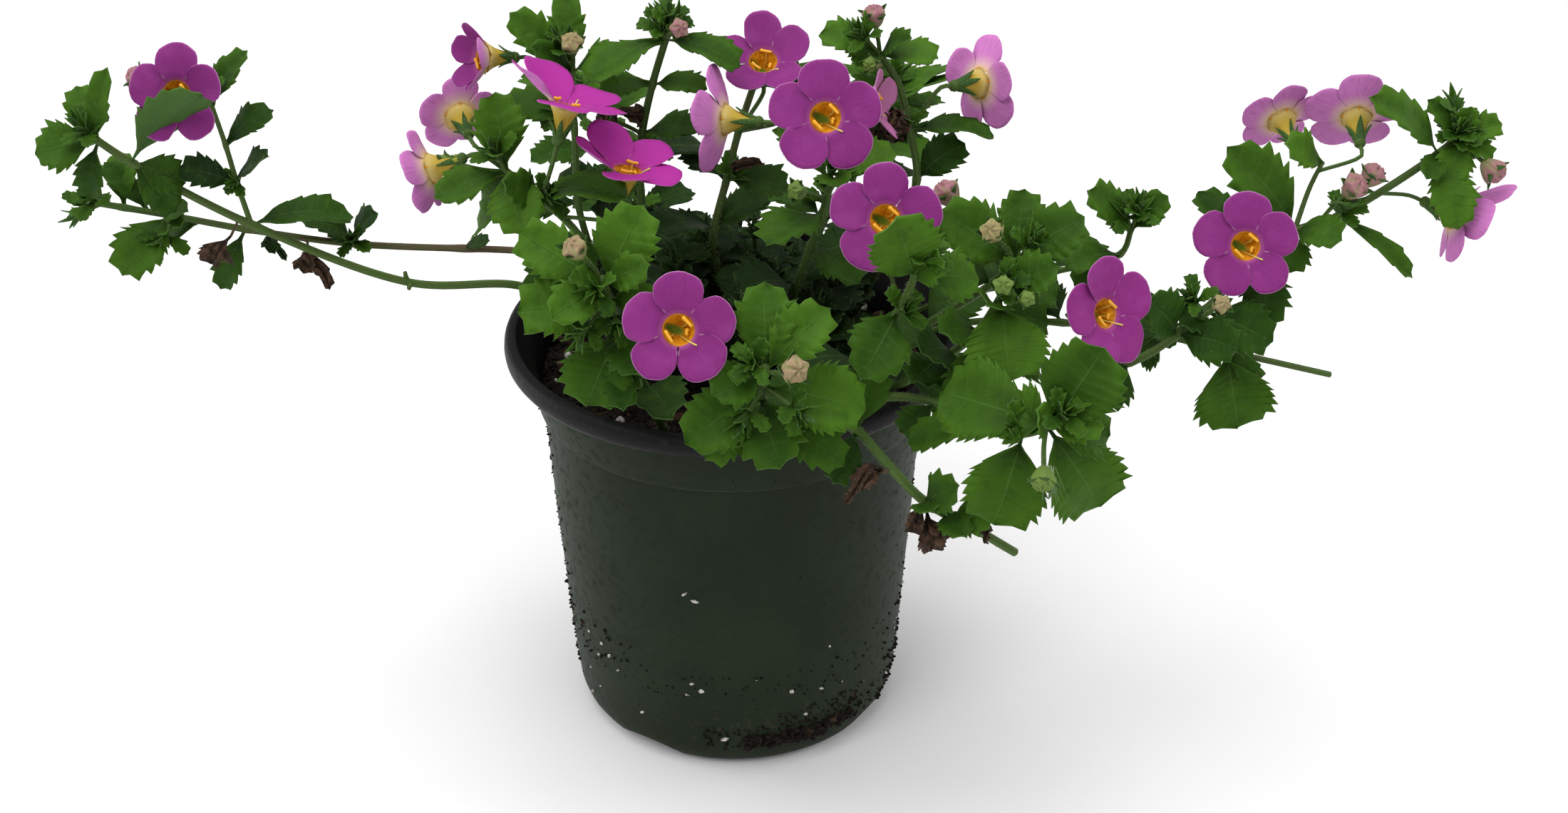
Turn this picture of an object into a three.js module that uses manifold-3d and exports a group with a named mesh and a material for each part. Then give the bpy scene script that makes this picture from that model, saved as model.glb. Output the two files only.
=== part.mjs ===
// A potted bacopa: a grower's pot of soil with trailing leafy shoots and violet flowers.
// Millimetres, +Z up. The origin is on the pot's axis, in the flat face it stands on.

import * as THREE from 'three';
import { mergeVertices } from 'three/addons/utils/BufferGeometryUtils.js';
import Module from 'manifold-3d';

const wasm = await Module();
wasm.setup();
const { Manifold } = wasm;

// Driving dimensions

const POT_HEIGHT = 108;
const RIM_RADIUS = 57;
const RIM_HEIGHT = 5.5;
const WALL = 1.4;
const COLLAR_RADIUS = 49.4;
const COLLAR_FOOT = 88.6;
const BASE_RADIUS = 39.2;
const POT_FACETS = 24;
const NOTCH_ANGLES = [-122, -32, 58, 148];
const NOTCH_HEIGHT = 4.5;
const NOTCH_RADIUS = 10;
const DRAIN_RADIUS = 3;
const DRAIN_RING = 24;

const SOIL_TOP = 96;
const SOIL_GAP = 0.3;
const STEM_GAP = 0.9;

const LEAF_THICKNESS = 0.7;
const PETIOLE_HALF_WIDTH = 0.38;
const LEAF_ARCH = 0.07;
const LEAF_FOLD = 0.12;
const STEM_SIDES = 5;
const STEM_STEP = 13;
const END_INSET = 0.12;
const STALK_RADIUS = 0.5;
const CLEARANCE = 0.35;
const SLIVER_HEIGHT = 0.004;
const SLIVER_SIDE = 0.04;
const SLIVER_ROUNDS = 12;

const PETAL_THICKNESS = 0.7;
const HOLE_RADIUS = 3.7;
const THROAT_RADIUS = 2.6;
const TUBE_RADIUS = 1.2;
const TUBE_LENGTH = 7.6;
const CALYX_DEPTH = 9.6;
const STALK_TURN = 3;
const STALK_STATIONS = [0.2, 0.6, 1];

const UP = [0, 0, 1];
const FRONT = [0, -0.86, 0.51];

const COLOURS = {
  plastic: [0x2f3a2a, 0.5],
  soil: [0x241a14, 0.95],
  leaf: [0x3f7f2a, 0.6],
  petal: [0xa03a9a, 0.55],
  throat: [0xe0a020, 0.5],
};

// Layout of the plant.
// A stem is [radius, points from its root]. A leaf is [stem, place on it counted in points,
// tip, width, turn of its face from up (0) to the front (1)]. A bud is [stem, place, centre, length].
// A tuft is [stem, place, tip of its middle bract, number of bracts].

const SHOOTS = {
  left_low: {
    stems: [
      [1.1, [-32, 14, 88], [-43, 13, 105], [-54, 12, 112], [-81, 8, 115], [-117, 0, 135], [-141, -8, 155],
        [-148, -10, 162]],
      [0.7, [-117, 0, 135], [-119, 0, 146], [-121, 2, 155], [-124, 5, 165]],
    ],
    leaves: [
      [0, 4, [-94, 10, 134], 13, 0.2],
      [1, 1, [-131, -4, 152], 9, 0.7],
      [1, 1, [-110, -4, 155], 9, 0.4],
      [1, 2, [-110, 6, 163], 10, 0.4],
      [0, 5, [-117, -24, 179], 14, 0.6],
      [0, 6, [-141, -16, 181], 7, 0.8],
      [0, 6, [-161, -14, 160], 13, 0.7],
      [0, 6, [-152, -5, 173], 9, 0.6],
      [1, 3, [-115, 8, 177], 8, 0.5],
    ],
    buds: [[1, 3, [-140, 3, 172], 7]],
    tufts: [],
  },
  left_back: {
    stems: [
      [1.0, [-24, 24, 88], [-35, 27, 105], [-46, 29, 112], [-55, 30, 113], [-97, 22, 119], [-122, 12, 128],
        [-138, 7, 134], [-155, 0, 141]],
    ],
    leaves: [
      [0, 6, [-148, -8, 126], 14, 0.9],
      [0, 6.6, [-150, 12, 149], 9, 0.5],
      [0, 6, [-132, -4, 141], 8, 0.7],
      [0, 5, [-130, 10, 112], 8, 0.9],
      [0, 4, [-91, 18, 130], 10, 0.4],
      [0, 4, [-108, 16, 130], 12, 0.4],
      [0, 3.4, [-63, 24, 119], 5, 0.5],
    ],
    buds: [],
    tufts: [[0, 7, [-163, -3, 137], 3]],
  },
  upper_left: {
    stems: [
      [1.0, [-24, -16, 88], [-30, -22, 122], [-34, -26, 144], [-43, -22, 152], [-52, -18, 158]],
    ],
    leaves: [
      [0, 4, [-53, -14, 175], 13, 0.9],
      [0, 4, [-46, -34, 149], 14, 0.8],
      [0, 4, [-67, -26, 154], 10, 0.5],
      [0, 3.2, [-62, -12, 139], 10, 0.5],
      [0, 3, [-23, -39, 162], 12, 0.4],
      [0, 2, [-44, -36, 134], 13, 0.6],
      [0, 1, [-46, -26, 128], 14, 0.3],
    ],
    buds: [],
    tufts: [],
  },
  top_left: {
    stems: [
      [0.9, [-26, 3, 88], [-33, 2, 120], [-37, 0, 141], [-37, 1, 154], [-37, 2, 176]],
    ],
    leaves: [
      [0, 4, [-50, 0, 189], 10, 0.6],
      [0, 4, [-38, 8, 191], 9, 0.5],
      [0, 4, [-25, -4, 181], 9, 0.4],
      [0, 3.3, [-54, 6, 166], 11, 0.4],
      [0, 2, [-52, 4, 136], 14, 0.3],
      [0, 2, [-22, 12, 140], 14, 0.3],
    ],
    buds: [[0, 4, [-36, -4, 183], 7]],
    tufts: [],
  },
  top: {
    stems: [
      [1.0, [-14, 14, 88], [-21, 9, 125], [-22, 4, 150], [-21, 2, 158], [-18, 1, 171], [-14, 0, 184]],
    ],
    leaves: [
      [0, 5, [-35, -8, 178], 13, 0.1],
      [0, 5, [3, -4, 178], 12, 0.1],
      [0, 4, [-30, -4, 172], 9, 0.4],
      [0, 4, [-5, -4, 172], 9, 0.4],
      [0, 3, [-7, -2, 162], 9, 0.4],
      [0, 2, [-6, 16, 150], 13, 0.3],
    ],
    buds: [[0, 5, [-11, -8, 188], 6], [0, 3, [-29, -2, 164], 6]],
    tufts: [[0, 5, [-14, 2, 194], 3]],
  },
  mid_back: {
    stems: [
      [1.0, [-4, 16, 88], [-5, 8, 115], [-4, 0, 134], [-1, 4, 145], [2, 8, 156], [6, 10, 168]],
    ],
    leaves: [
      [0, 4, [-13, 2, 160], 9, 0.4],
      [0, 5, [19, 12, 181], 9, 0.4],
      [0, 3, [14, 0, 145], 12, 0.3],
      [0, 2, [-18, -12, 140], 15, 0.2],
      [0, 2, [9, 6, 140], 13, 0.2],
    ],
    buds: [],
    tufts: [],
  },
  top_right: {
    stems: [
      [1.0, [24, 16, 88], [38, 8, 122], [45, 0, 147], [43, 2, 159], [40, 4, 170], [35, 4, 178]],
    ],
    leaves: [
      [0, 2, [56, 2, 156], 12, 0.5],
      [0, 3, [63, 0, 159], 10, 0.2],
      [0, 5, [22, 2, 184], 12, 0.5],
      [0, 5, [49, 0, 178], 11, 0.3],
      [0, 4, [31, -6, 170], 9, 0.3],
      [0, 1, [56, 12, 130], 15, 0.3],
    ],
    buds: [[0, 5, [34, 4, 187], 7], [0, 3.4, [35, -2, 160], 8]],
    tufts: [],
  },
  centre: {
    stems: [
      [1.0, [8, 4, 88], [16, -8, 122], [22, -17, 146], [24, -20, 156]],
    ],
    leaves: [
      [0, 2, [9, -34, 147], 14, 0.3],
      [0, 3, [38, -22, 164], 13, 0.3],
      [0, 3, [12, -10, 166], 12, 0.3],
      [0, 1, [32, 2, 130], 15, 0.2],
      [0, 1.5, [31, -22, 131], 13, 0.3],
    ],
    buds: [[0, 2.4, [16, -24, 155], 6]],
    tufts: [],
  },
  centre_right: {
    stems: [
      [1.0, [18, -14, 88], [30, -38, 118], [38, -57, 141], [41, -66, 155]],
    ],
    leaves: [
      [0, 3, [36, -73, 171], 16, 0.9],
      [0, 3, [55, -62, 152], 12, 0.6],
      [0, 2, [30, -74, 135], 15, 0.9],
      [0, 1, [44, -32, 124], 14, 0.3],
    ],
    buds: [],
    tufts: [],
  },
  right_a: {
    stems: [
      [1.0, [31, -2, 88], [46, -22, 118], [60, -38, 138], [65, -44, 147]],
    ],
    leaves: [
      [0, 3, [47, -46, 160], 15, 0.7],
      [0, 3, [79, -44, 158], 14, 0.6],
      [0, 3, [67, -34, 160], 12, 0.7],
      [0, 2, [76, -36, 134], 14, 0.4],
      [0, 1, [60, -16, 126], 15, 0.3],
    ],
    buds: [[0, 3, [58, -54, 159], 7], [0, 2.5, [49, -38, 161], 8]],
    tufts: [],
  },
  right_b: {
    stems: [
      [1.0, [24, -12, 88], [42, -36, 112], [56, -50, 132], [61, -54, 144]],
    ],
    leaves: [
      [0, 3, [62, -68, 130], 19, 0.9],
      [0, 3, [72, -58, 153], 12, 0.5],
      [0, 2, [50, -58, 116], 14, 0.6],
      [0, 2, [72, -42, 120], 16, 0.5],
      [0, 1, [58, -40, 106], 14, 0.5],
    ],
    buds: [[0, 3, [60, -62, 150], 6]],
    tufts: [],
  },
  right_sprout: {
    stems: [
      [0.8, [36, 12, 88], [46, 8, 106], [60, 2, 115], [78, -8, 126], [93, -16, 135], [95, -16, 142]],
    ],
    leaves: [
      [0, 5, [84, -19, 153], 11, 0.6],
      [0, 5, [102, -18, 151], 9, 0.6],
      [0, 4, [79, -24, 136], 11, 0.4],
      [0, 3, [90, 2, 130], 14, 0.3],
      [0, 3, [70, -20, 124], 13, 0.3],
      [0, 2.3, [64, 16, 122], 14, 0.3],
    ],
    buds: [],
    tufts: [],
  },
  right_long: {
    stems: [
      [1.1, [34, -10, 88], [45, -18, 106], [55, -25, 112], [74, -34, 115], [93, -40, 119], [111, -30, 127],
        [124, -18, 135], [135, -10, 138], [146, -6, 140], [171, 4, 152], [176, 6, 156]],
      [0.6, [135, -10, 138], [139, -4, 147], [142, -1, 152]],
    ],
    leaves: [
      [0, 9, [152, -3, 170], 11, 0.6],
      [0, 9, [179, -9, 140], 12, 0.8],
      [0, 10, [185, 4, 160], 8, 0.6],
      [0, 8, [165, -12, 127], 6, 0.5],
      [0, 7, [117, -13, 161], 15, 0.7],
      [0, 7, [143, -21, 142], 12, 0.6],
      [1, 2, [132, -6, 159], 10, 0.6],
      [0, 6, [112, -5, 146], 12, 0.4],
      [0, 4.6, [117, -42, 124], 13, 0.8],
      [0, 4.6, [96, -42, 136], 13, 0.8],
      [0, 5, [127, -34, 121], 14, 0.8],
      [0, 4, [99, -26, 130], 12, 0.4],
      [0, 4, [84, -48, 112], 14, 0.6],
    ],
    buds: [[0, 10, [183, -2, 150], 8], [0, 7.6, [147, -13, 151], 7], [0, 4.8, [112, -42, 135], 6]],
    tufts: [[0, 10, [173, 10, 168], 3]],
  },
  right_cut: {
    stems: [
      [0.9, [37, 2, 88], [47, -3, 105], [57, -8, 112], [80, -17, 117], [104, -24, 117], [119, -22, 112],
        [147, -16, 102]],
    ],
    leaves: [
      [0, 5, [123, -28, 94], 20, 1],
      [0, 3, [73, -4, 124], 14, 0.3],
    ],
    buds: [],
    tufts: [],
  },
  right_low: {
    stems: [
      [1.1, [24, -26, 88], [32, -40, 108], [40, -50, 115.5], [52, -65, 121], [64, -80, 124], [69, -85, 129]],
    ],
    leaves: [
      [0, 5, [79, -85, 147], 19, 0.9],
      [0, 5, [47, -71, 129], 19, 0.9],
      [0, 4, [58, -90, 107], 19, 1],
      [0, 5, [82, -84, 107], 19, 1],
      [0, 5, [83, -81, 124], 13, 0.7],
      [0, 3.4, [40, -64, 112], 9, 0.6],
    ],
    buds: [[0, 5, [67, -94, 121], 7]],
    tufts: [],
  },
  front_right: {
    stems: [
      [1.1, [12, -34, 88], [16, -45, 107], [21, -57, 114], [29, -69, 118], [36, -74, 112], [44, -76, 104],
        [55, -76, 97], [65, -74, 89]],
    ],
    leaves: [
      [0, 5, [50, -84, 113], 10, 0.8],
      [0, 5.6, [58, -83, 105], 9, 0.8],
      [0, 3, [33, -62, 132], 11, 0.7],
      [0, 3, [24, -79, 111], 8, 0.9],
      [0, 5, [45, -83, 106], 8, 0.9],
    ],
    buds: [],
    tufts: [],
  },
  front_left: {
    stems: [
      [1.0, [-14, -30, 88], [-19, -46, 116], [-23, -57, 136], [-26, -62, 152]],
    ],
    leaves: [
      [0, 3, [-17, -58, 167], 15, 0.9],
      [0, 3, [-44, -56, 160], 13, 0.8],
      [0, 2.6, [-44, -66, 146], 15, 0.8],
      [0, 2, [-30, -70, 125], 17, 0.9],
      [0, 2, [-45, -46, 140], 14, 0.5],
      [0, 1, [-36, -44, 122], 14, 0.3],
    ],
    buds: [[0, 3, [-31, -66, 161], 7]],
    tufts: [],
  },
  front: {
    stems: [
      [1.0, [0, -32, 88], [4, -48, 112], [8, -70, 127], [9, -78, 139]],
    ],
    leaves: [
      [0, 3, [9, -70, 155], 14, 0.9],
      [0, 3, [22, -74, 151], 13, 0.8],
      [0, 2.4, [31, -74, 133], 16, 0.9],
      [0, 2.4, [-8, -84, 124], 15, 0.9],
      [0, 2, [12, -87, 120], 15, 1],
      [0, 2, [-4, -79, 117], 12, 0.9],
    ],
    buds: [[0, 3, [15, -88, 144], 8]],
    tufts: [],
  },
  back_left: {
    stems: [
      [1.0, [-12, 28, 88], [-26, 42, 116], [-36, 55, 130], [-42, 66, 137]],
    ],
    leaves: [
      [0, 3, [-58, 70, 146], 15, 0],
      [0, 3, [-38, 80, 144], 14, 0],
      [0, 3, [-32, 64, 150], 12, 0],
      [0, 2, [-54, 48, 132], 16, 0],
      [0, 2, [-22, 66, 128], 16, 0],
      [0, 1, [-42, 36, 124], 15, 0],
      [0, 1, [-12, 50, 122], 15, 0],
    ],
    buds: [],
    tufts: [],
  },
  back_right: {
    stems: [
      [1.0, [14, 30, 88], [24, 44, 116], [36, 58, 132], [42, 68, 140]],
    ],
    leaves: [
      [0, 3, [58, 66, 150], 15, 0],
      [0, 3, [44, 84, 146], 14, 0],
      [0, 3, [28, 68, 150], 12, 0],
      [0, 2, [54, 48, 130], 16, 0],
      [0, 2, [24, 72, 128], 16, 0],
      [0, 1, [40, 36, 122], 15, 0],
      [0, 1, [8, 50, 120], 15, 0],
    ],
    buds: [],
    tufts: [],
  },
};

// A bloom is [shoot, stem, place of its stalk's foot, centre, facing, diameter, cup].

const BLOOMS = [
  ['left_low', 1, 3, [-128, -8, 172], [-0.15, -0.9, 0.42], 24, 0.03],
  ['top_left', 0, 3.6, [-57, -5, 180], [-0.8, -0.5, 0.2], 16, 0.3],
  ['upper_left', 0, 4, [-65, 6, 161], [-0.36, 0.91, 0.17], 20, 0.1],
  ['upper_left', 0, 3.6, [-70, -12, 155], [-0.92, 0.1, -0.36], 20, 0.15],
  ['upper_left', 0, 3, [-35, -30, 179], [0.25, 0.27, 0.93], 28, 0.1],
  ['upper_left', 0, 2.5, [-22, -31, 164], [0.14, 0, 0.99], 25, 0.09],
  ['mid_back', 0, 4, [8, 9, 174], [0, -0.5, 0.87], 23, 0.14],
  ['mid_back', 0, 4, [-1, -11, 167], [-0.95, 0.31, -0.07], 26, 0.12],
  ['centre', 0, 3, [22, -38, 179], [0, -0.86, 0.51], 25.5, 0.03],
  ['centre_right', 0, 2, [35, -52, 161], [0, -0.86, 0.51], 25, 0.03],
  ['front_left', 0, 1.6, [-9, -78, 148], [0.05, -0.86, 0.5], 24.5, 0.03],
  ['top_right', 0, 3, [60, 9, 168], [0.78, 0.6, -0.17], 23, 0.08],
  ['right_long', 0, 4, [85, -50, 137], [0.6, -0.7, 0.4], 26.5, 0.06],
  ['right_long', 0, 6, [120, -26, 142], [0, -0.86, 0.51], 25, 0.03],
  ['right_long', 1, 2, [135, 16, 156], [-0.2, 0.85, 0.35], 21, 0.08],
  ['right_long', 1, 1.6, [151, 8, 160], [0.05, 0.9, 0.42], 25, 0.08],
  ['right_long', 0, 8.4, [177, 1, 137], [0.92, -0.1, -0.37], 24, 0.1],
  ['top_right', 0, 4, [35, -10, 170], [0.92, -0.2, 0.33], 17, 0.2],
  ['back_right', 0, 2, [30, 46, 152], [-0.2, 0.3, 0.93], 24, 0.03],
];

// Geometry helpers

const vector = (point) => new THREE.Vector3(...point);
const turnDegrees = THREE.MathUtils.degToRad;

function geometryFrom(points, triangles) {
  const geometry = new THREE.BufferGeometry();
  geometry.setAttribute('position', new THREE.Float32BufferAttribute(points.flat(), 3));
  geometry.setIndex(triangles.flat());
  return geometry;
}

function solidFrom(geometry) {
  const bare = new THREE.BufferGeometry();
  bare.setAttribute('position', geometry.getAttribute('position'));
  if (geometry.index) bare.setIndex(geometry.index);
  const merged = mergeVertices(bare, 1e-4);
  const corners = merged.index.array;
  const kept = [];
  for (let i = 0; i < corners.length; i += 3) {
    const [a, b, c] = [corners[i], corners[i + 1], corners[i + 2]];
    if (a !== b && b !== c && c !== a) kept.push(a, b, c);
  }
  return new Manifold(new wasm.Mesh({
    numProp: 3,
    vertProperties: new Float32Array(merged.getAttribute('position').array),
    triVerts: new Uint32Array(kept),
  }));
}

function geometryOf(solid) {
  const { vertProperties, triVerts } = solid.getMesh();
  const points = Array.from({ length: vertProperties.length / 3 }, (_, i) => (
    new THREE.Vector3(...vertProperties.slice(3 * i, 3 * i + 3))
  ));
  const faces = Array.from({ length: triVerts.length / 3 }, (_, i) => [...triVerts.slice(3 * i, 3 * i + 3)]);
  const largestFirst = (one, other) => faceArea(points, other) - faceArea(points, one);
  const kept = withoutSlivers(points, faces).sort(largestFirst);
  const geometry = mergeVertices(geometryFrom(points.map((point) => point.toArray()), kept).toNonIndexed(), 1e-6);
  geometry.computeVertexNormals();
  return geometry;
}

// Slivers that a join leaves: a thin triangle loses its short side, or its long side is turned

function faceArea(points, face) {
  const [a, b, c] = face.map((corner) => points[corner]);
  return b.clone().sub(a).cross(c.clone().sub(a)).length() / 2;
}

function thinnestSide(points, face) {
  const sides = face.map((corner, i) => points[corner].distanceTo(points[face[(i + 1) % 3]]));
  const longest = sides.indexOf(Math.max(...sides));
  const shortest = sides.indexOf(Math.min(...sides));
  const height = (2 * faceArea(points, face)) / sides[longest];
  return { height, length: sides[shortest], longest, shortest };
}

function withoutSlivers(points, faces) {
  let kept = faces;
  for (let round = 0; round < SLIVER_ROUNDS; round += 1) {
    const across = new Map();
    const around = points.map(() => new Set());
    kept.forEach((face, f) => face.forEach((corner, i) => {
      const next = face[(i + 1) % 3];
      across.set(`${corner},${next}`, f);
      around[corner].add(next);
      around[next].add(corner);
    }));
    const touched = new Set();
    let changed = false;
    for (const face of kept) {
      const thin = thinnestSide(points, face);
      if (thin.height > SLIVER_HEIGHT || face.some((corner) => touched.has(corner))) continue;
      if (thin.length < SLIVER_SIDE) {
        const [stays, goes] = [face[thin.shortest], face[(thin.shortest + 1) % 3]];
        const shared = [...around[stays]].filter((corner) => around[goes].has(corner));
        if (shared.length !== 2 || [...around[goes]].some((corner) => touched.has(corner))) continue;
        for (const other of kept) {
          const place = other.indexOf(goes);
          if (place >= 0) other[place] = stays;
        }
        [stays, goes, ...around[goes], ...around[stays]].forEach((corner) => touched.add(corner));
      } else {
        const [a, b, tip] = [0, 1, 2].map((i) => face[(thin.longest + i) % 3]);
        const neighbour = kept[across.get(`${b},${a}`)];
        const far = neighbour.find((corner) => corner !== a && corner !== b);
        if (around[tip].has(far) || touched.has(far)) continue;
        face.splice(0, 3, a, far, tip);
        neighbour.splice(0, 3, far, b, tip);
        [a, b, tip, far].forEach((corner) => touched.add(corner));
      }
      changed = true;
    }
    kept = kept.filter((face) => new Set(face).size === 3);
    if (!changed) break;
  }
  return kept;
}

function joined(solids) {
  return solids.reduce((whole, next) => whole.add(next));
}

function curveOf(points) {
  return new THREE.CatmullRomCurve3(points.map(vector), false, 'centripetal');
}

function tube(points, radius, sides = STEM_SIDES) {
  const path = curveOf(points);
  const section = new THREE.Shape();
  for (let i = 0; i < sides; i += 1) {
    const angle = (2 * Math.PI * i) / sides;
    const corner = [radius * Math.cos(angle), radius * Math.sin(angle)];
    if (i === 0) section.moveTo(...corner);
    else section.lineTo(...corner);
  }
  section.closePath();
  const steps = Math.max(1, Math.round(path.getLength() / STEM_STEP));
  return solidFrom(new THREE.ExtrudeGeometry(section, { steps, bevelEnabled: false, extrudePath: path }));
}

function pointOnStem(stem, place) {
  const points = stem.slice(1);
  const last = points.length - 1;
  return curveOf(points).getPoint(Math.min(place, last - END_INSET) / last);
}

// Frame with its third axis along a direction and its first nearest to a hint

function frameAlong(direction, hint) {
  const third = direction.clone().normalize();
  const first = hint.clone().addScaledVector(third, -hint.dot(third)).normalize();
  const second = third.clone().cross(first);
  return { first, second, third };
}

// Leaves: a toothed blade, folded along its midrib and arched from base to tip

const PETIOLE_SHARE = 0.2;
const TEETH = {
  small: [[0.52, 0.5], [0.78, 0.34]],
  medium: [[0.42, 0.48], [0.6, 0.46], [0.66, 0.34], [0.84, 0.3]],
  large: [[0.36, 0.44], [0.54, 0.5], [0.6, 0.38], [0.74, 0.4], [0.79, 0.26], [0.9, 0.2]],
};
const MIDRIB = [PETIOLE_SHARE, 0.55, 1];

function teethFor(width) {
  if (width < 12) return TEETH.small;
  return width < 16 ? TEETH.medium : TEETH.large;
}

function leafSolid(base, tip, width, tilt, extra = 0) {
  const along = tip.clone().sub(base);
  const length = along.length() + extra;
  const hint = vector(UP).lerp(vector(FRONT), tilt);
  const { first: normal, second: side, third: forward } = frameAlong(along, hint);
  const half = LEAF_THICKNESS / 2 + extra;
  const points = [];
  const place = (share, offset, face) => {
    const lift = LEAF_ARCH * length * Math.sin(Math.PI * share) + LEAF_FOLD * Math.abs(offset) + face * half;
    const point = base.clone().addScaledVector(forward, length * share);
    point.addScaledVector(side, offset).addScaledVector(normal, lift);
    return points.push(point.toArray()) - 1;
  };
  const edge = [[PETIOLE_SHARE, 0.1], ...teethFor(width)];
  const chains = [1, -1].map((face) => {
    const root = [1, -1].map((hand) => place(0, hand * (PETIOLE_HALF_WIDTH + extra), face));
    const spine = MIDRIB.map((share) => place(share, 0, face));
    const sides = [1, -1].map((hand) => {
      const chain = edge.map(([share, reach]) => place(share, hand * (reach * width + extra), face));
      return [...chain, spine[spine.length - 1]];
    });
    return { root, spine, sides };
  });
  const triangles = [];
  const shares = [...edge.map(([share]) => share), 1];
  chains.forEach(({ root, spine, sides }, index) => {
    const add = (corners, flipped) => triangles.push(flipped ? corners.reverse() : corners);
    add([root[1], root[0], spine[0]], index === 1);
    sides.forEach((chain, hand) => {
      const flipped = (index + hand) % 2 === 1;
      add([spine[0], root[hand], chain[0]], flipped);
      let [i, j] = [0, 0];
      while (i < chain.length - 1 || j < spine.length - 1) {
        const stepChain = j === spine.length - 1
          || (i < chain.length - 1 && shares[i + 1] < MIDRIB[j + 1]);
        const next = stepChain ? chain[i + 1] : spine[j + 1];
        const corners = [spine[j], chain[i], next];
        if (new Set(corners).size === 3) add(corners, flipped);
        if (stepChain) i += 1;
        else j += 1;
      }
    });
  });
  const [top, bottom] = chains;
  [0, 1].forEach((hand) => {
    const [upper, lower] = [top, bottom].map(({ root, sides }) => [root[hand], ...sides[hand]]);
    for (let i = 0; i < upper.length - 1; i += 1) {
      const quad = [[upper[i], lower[i], upper[i + 1]], [upper[i + 1], lower[i], lower[i + 1]]];
      quad.forEach((corners) => triangles.push(hand === 0 ? corners : corners.reverse()));
    }
  });
  triangles.push([top.root[1], bottom.root[1], top.root[0]], [top.root[0], bottom.root[1], bottom.root[0]]);
  return solidFrom(geometryFrom(points, triangles));
}

// Buds: a small egg on a thin stalk

function budSolid(foot, centre, length) {
  const egg = new THREE.IcosahedronGeometry(length / 2, 0);
  egg.scale(0.85, 0.85, 1);
  const { third } = frameAlong(centre.clone().sub(foot), vector([1, 0.2, 0.1]));
  egg.applyQuaternion(new THREE.Quaternion().setFromUnitVectors(vector(UP), third));
  egg.translate(...centre);
  return solidFrom(egg).add(tube([foot.toArray(), centre.toArray()], STALK_RADIUS + 0.1, 4));
}

// Tufts: young bracts, as slim pyramids fanned round a middle one

function spikeSolid(base, tip, width, turn) {
  const { first, second } = frameAlong(tip.clone().sub(base), vector([Math.cos(turn), Math.sin(turn), 0.3]));
  const corners = [0, 1, 2].map((i) => {
    const angle = (2 * Math.PI * i) / 3;
    return base.clone()
      .addScaledVector(first, width * 0.5 * Math.cos(angle))
      .addScaledVector(second, width * 0.5 * Math.sin(angle))
      .toArray();
  });
  return solidFrom(geometryFrom([...corners, tip.toArray()], [[2, 1, 0], [0, 1, 3], [1, 2, 3], [2, 0, 3]]));
}

function tuftSolids(base, tip, count) {
  const { first, second, third } = frameAlong(tip.clone().sub(base), vector([1, 0.3, 0.2]));
  const length = tip.distanceTo(base);
  const root = base.clone().addScaledVector(third, -0.6);
  return Array.from({ length: count }, (_, i) => {
    const angle = (2 * Math.PI * i) / Math.max(1, count - 1);
    const spread = i === 0 ? 0 : 0.42;
    const end = base.clone().addScaledVector(third, length * (i === 0 ? 1 : 0.75));
    end.addScaledVector(first, spread * length * Math.cos(angle));
    end.addScaledVector(second, spread * length * Math.sin(angle));
    return spikeSolid(root, end, 2, angle);
  });
}

// Blooms: a five-lobed limb with a hole, the yellow throat and tube in it, and a calyx behind

const LOBES = 5;
const LOBE_OUTLINE = [[-25, 0.9], [-9, 1], [9, 1], [25, 0.9], [36, 0.47]];

function bloomFrame(centre, facing) {
  const { first, second, third } = frameAlong(vector(facing), vector([0, 0.2, 1]));
  return (x, y, z) => vector(centre)
    .addScaledVector(first, x).addScaledVector(second, y).addScaledVector(third, z);
}

function limbSolid([, , , centre, facing, diameter, cup]) {
  const at = bloomFrame(centre, facing);
  const radius = diameter / 2;
  const rim = [];
  const hole = [];
  for (let lobe = 0; lobe < LOBES; lobe += 1) {
    const middle = (360 * lobe) / LOBES;
    LOBE_OUTLINE.forEach(([angle, reach]) => rim.push([turnDegrees(middle + angle), reach * radius]));
    hole.push([turnDegrees(middle - 36), HOLE_RADIUS]);
  }
  const points = [];
  const ring = (polar, face) => polar.map(([angle, reach]) => {
    const height = cup * diameter * (reach / radius) ** 2 + (face * PETAL_THICKNESS) / 2;
    return points.push(at(reach * Math.cos(angle), reach * Math.sin(angle), height).toArray()) - 1;
  });
  const [rimTop, rimLow, holeTop, holeLow] = [ring(rim, 1), ring(rim, -1), ring(hole, 1), ring(hole, -1)];
  const triangles = [];
  const perLobe = LOBE_OUTLINE.length;
  for (let lobe = 0; lobe < LOBES; lobe += 1) {
    const next = (lobe + 1) % LOBES;
    for (let i = 0; i < perLobe; i += 1) {
      const a = lobe * perLobe + i;
      const b = (a + 1) % rim.length;
      triangles.push([rimTop[a], rimLow[a], rimTop[b]], [rimTop[b], rimLow[a], rimLow[b]]);
      if (i === perLobe - 1) continue;
      const pivot = i < 2 ? lobe : next;
      triangles.push([holeTop[pivot], rimTop[a], rimTop[b]], [holeLow[pivot], rimLow[b], rimLow[a]]);
    }
    const middle = lobe * perLobe + 2;
    const notch = lobe * perLobe + perLobe - 1;
    const start = (notch + 1) % rim.length;
    triangles.push([holeTop[lobe], rimTop[middle], holeTop[next]], [holeLow[lobe], holeLow[next], rimLow[middle]]);
    triangles.push([holeTop[next], rimTop[notch], rimTop[start]], [holeLow[next], rimLow[start], rimLow[notch]]);
    triangles.push([holeTop[lobe], holeTop[next], holeLow[lobe]], [holeLow[lobe], holeTop[next], holeLow[next]]);
  }
  return solidFrom(geometryFrom(points, triangles));
}

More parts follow.
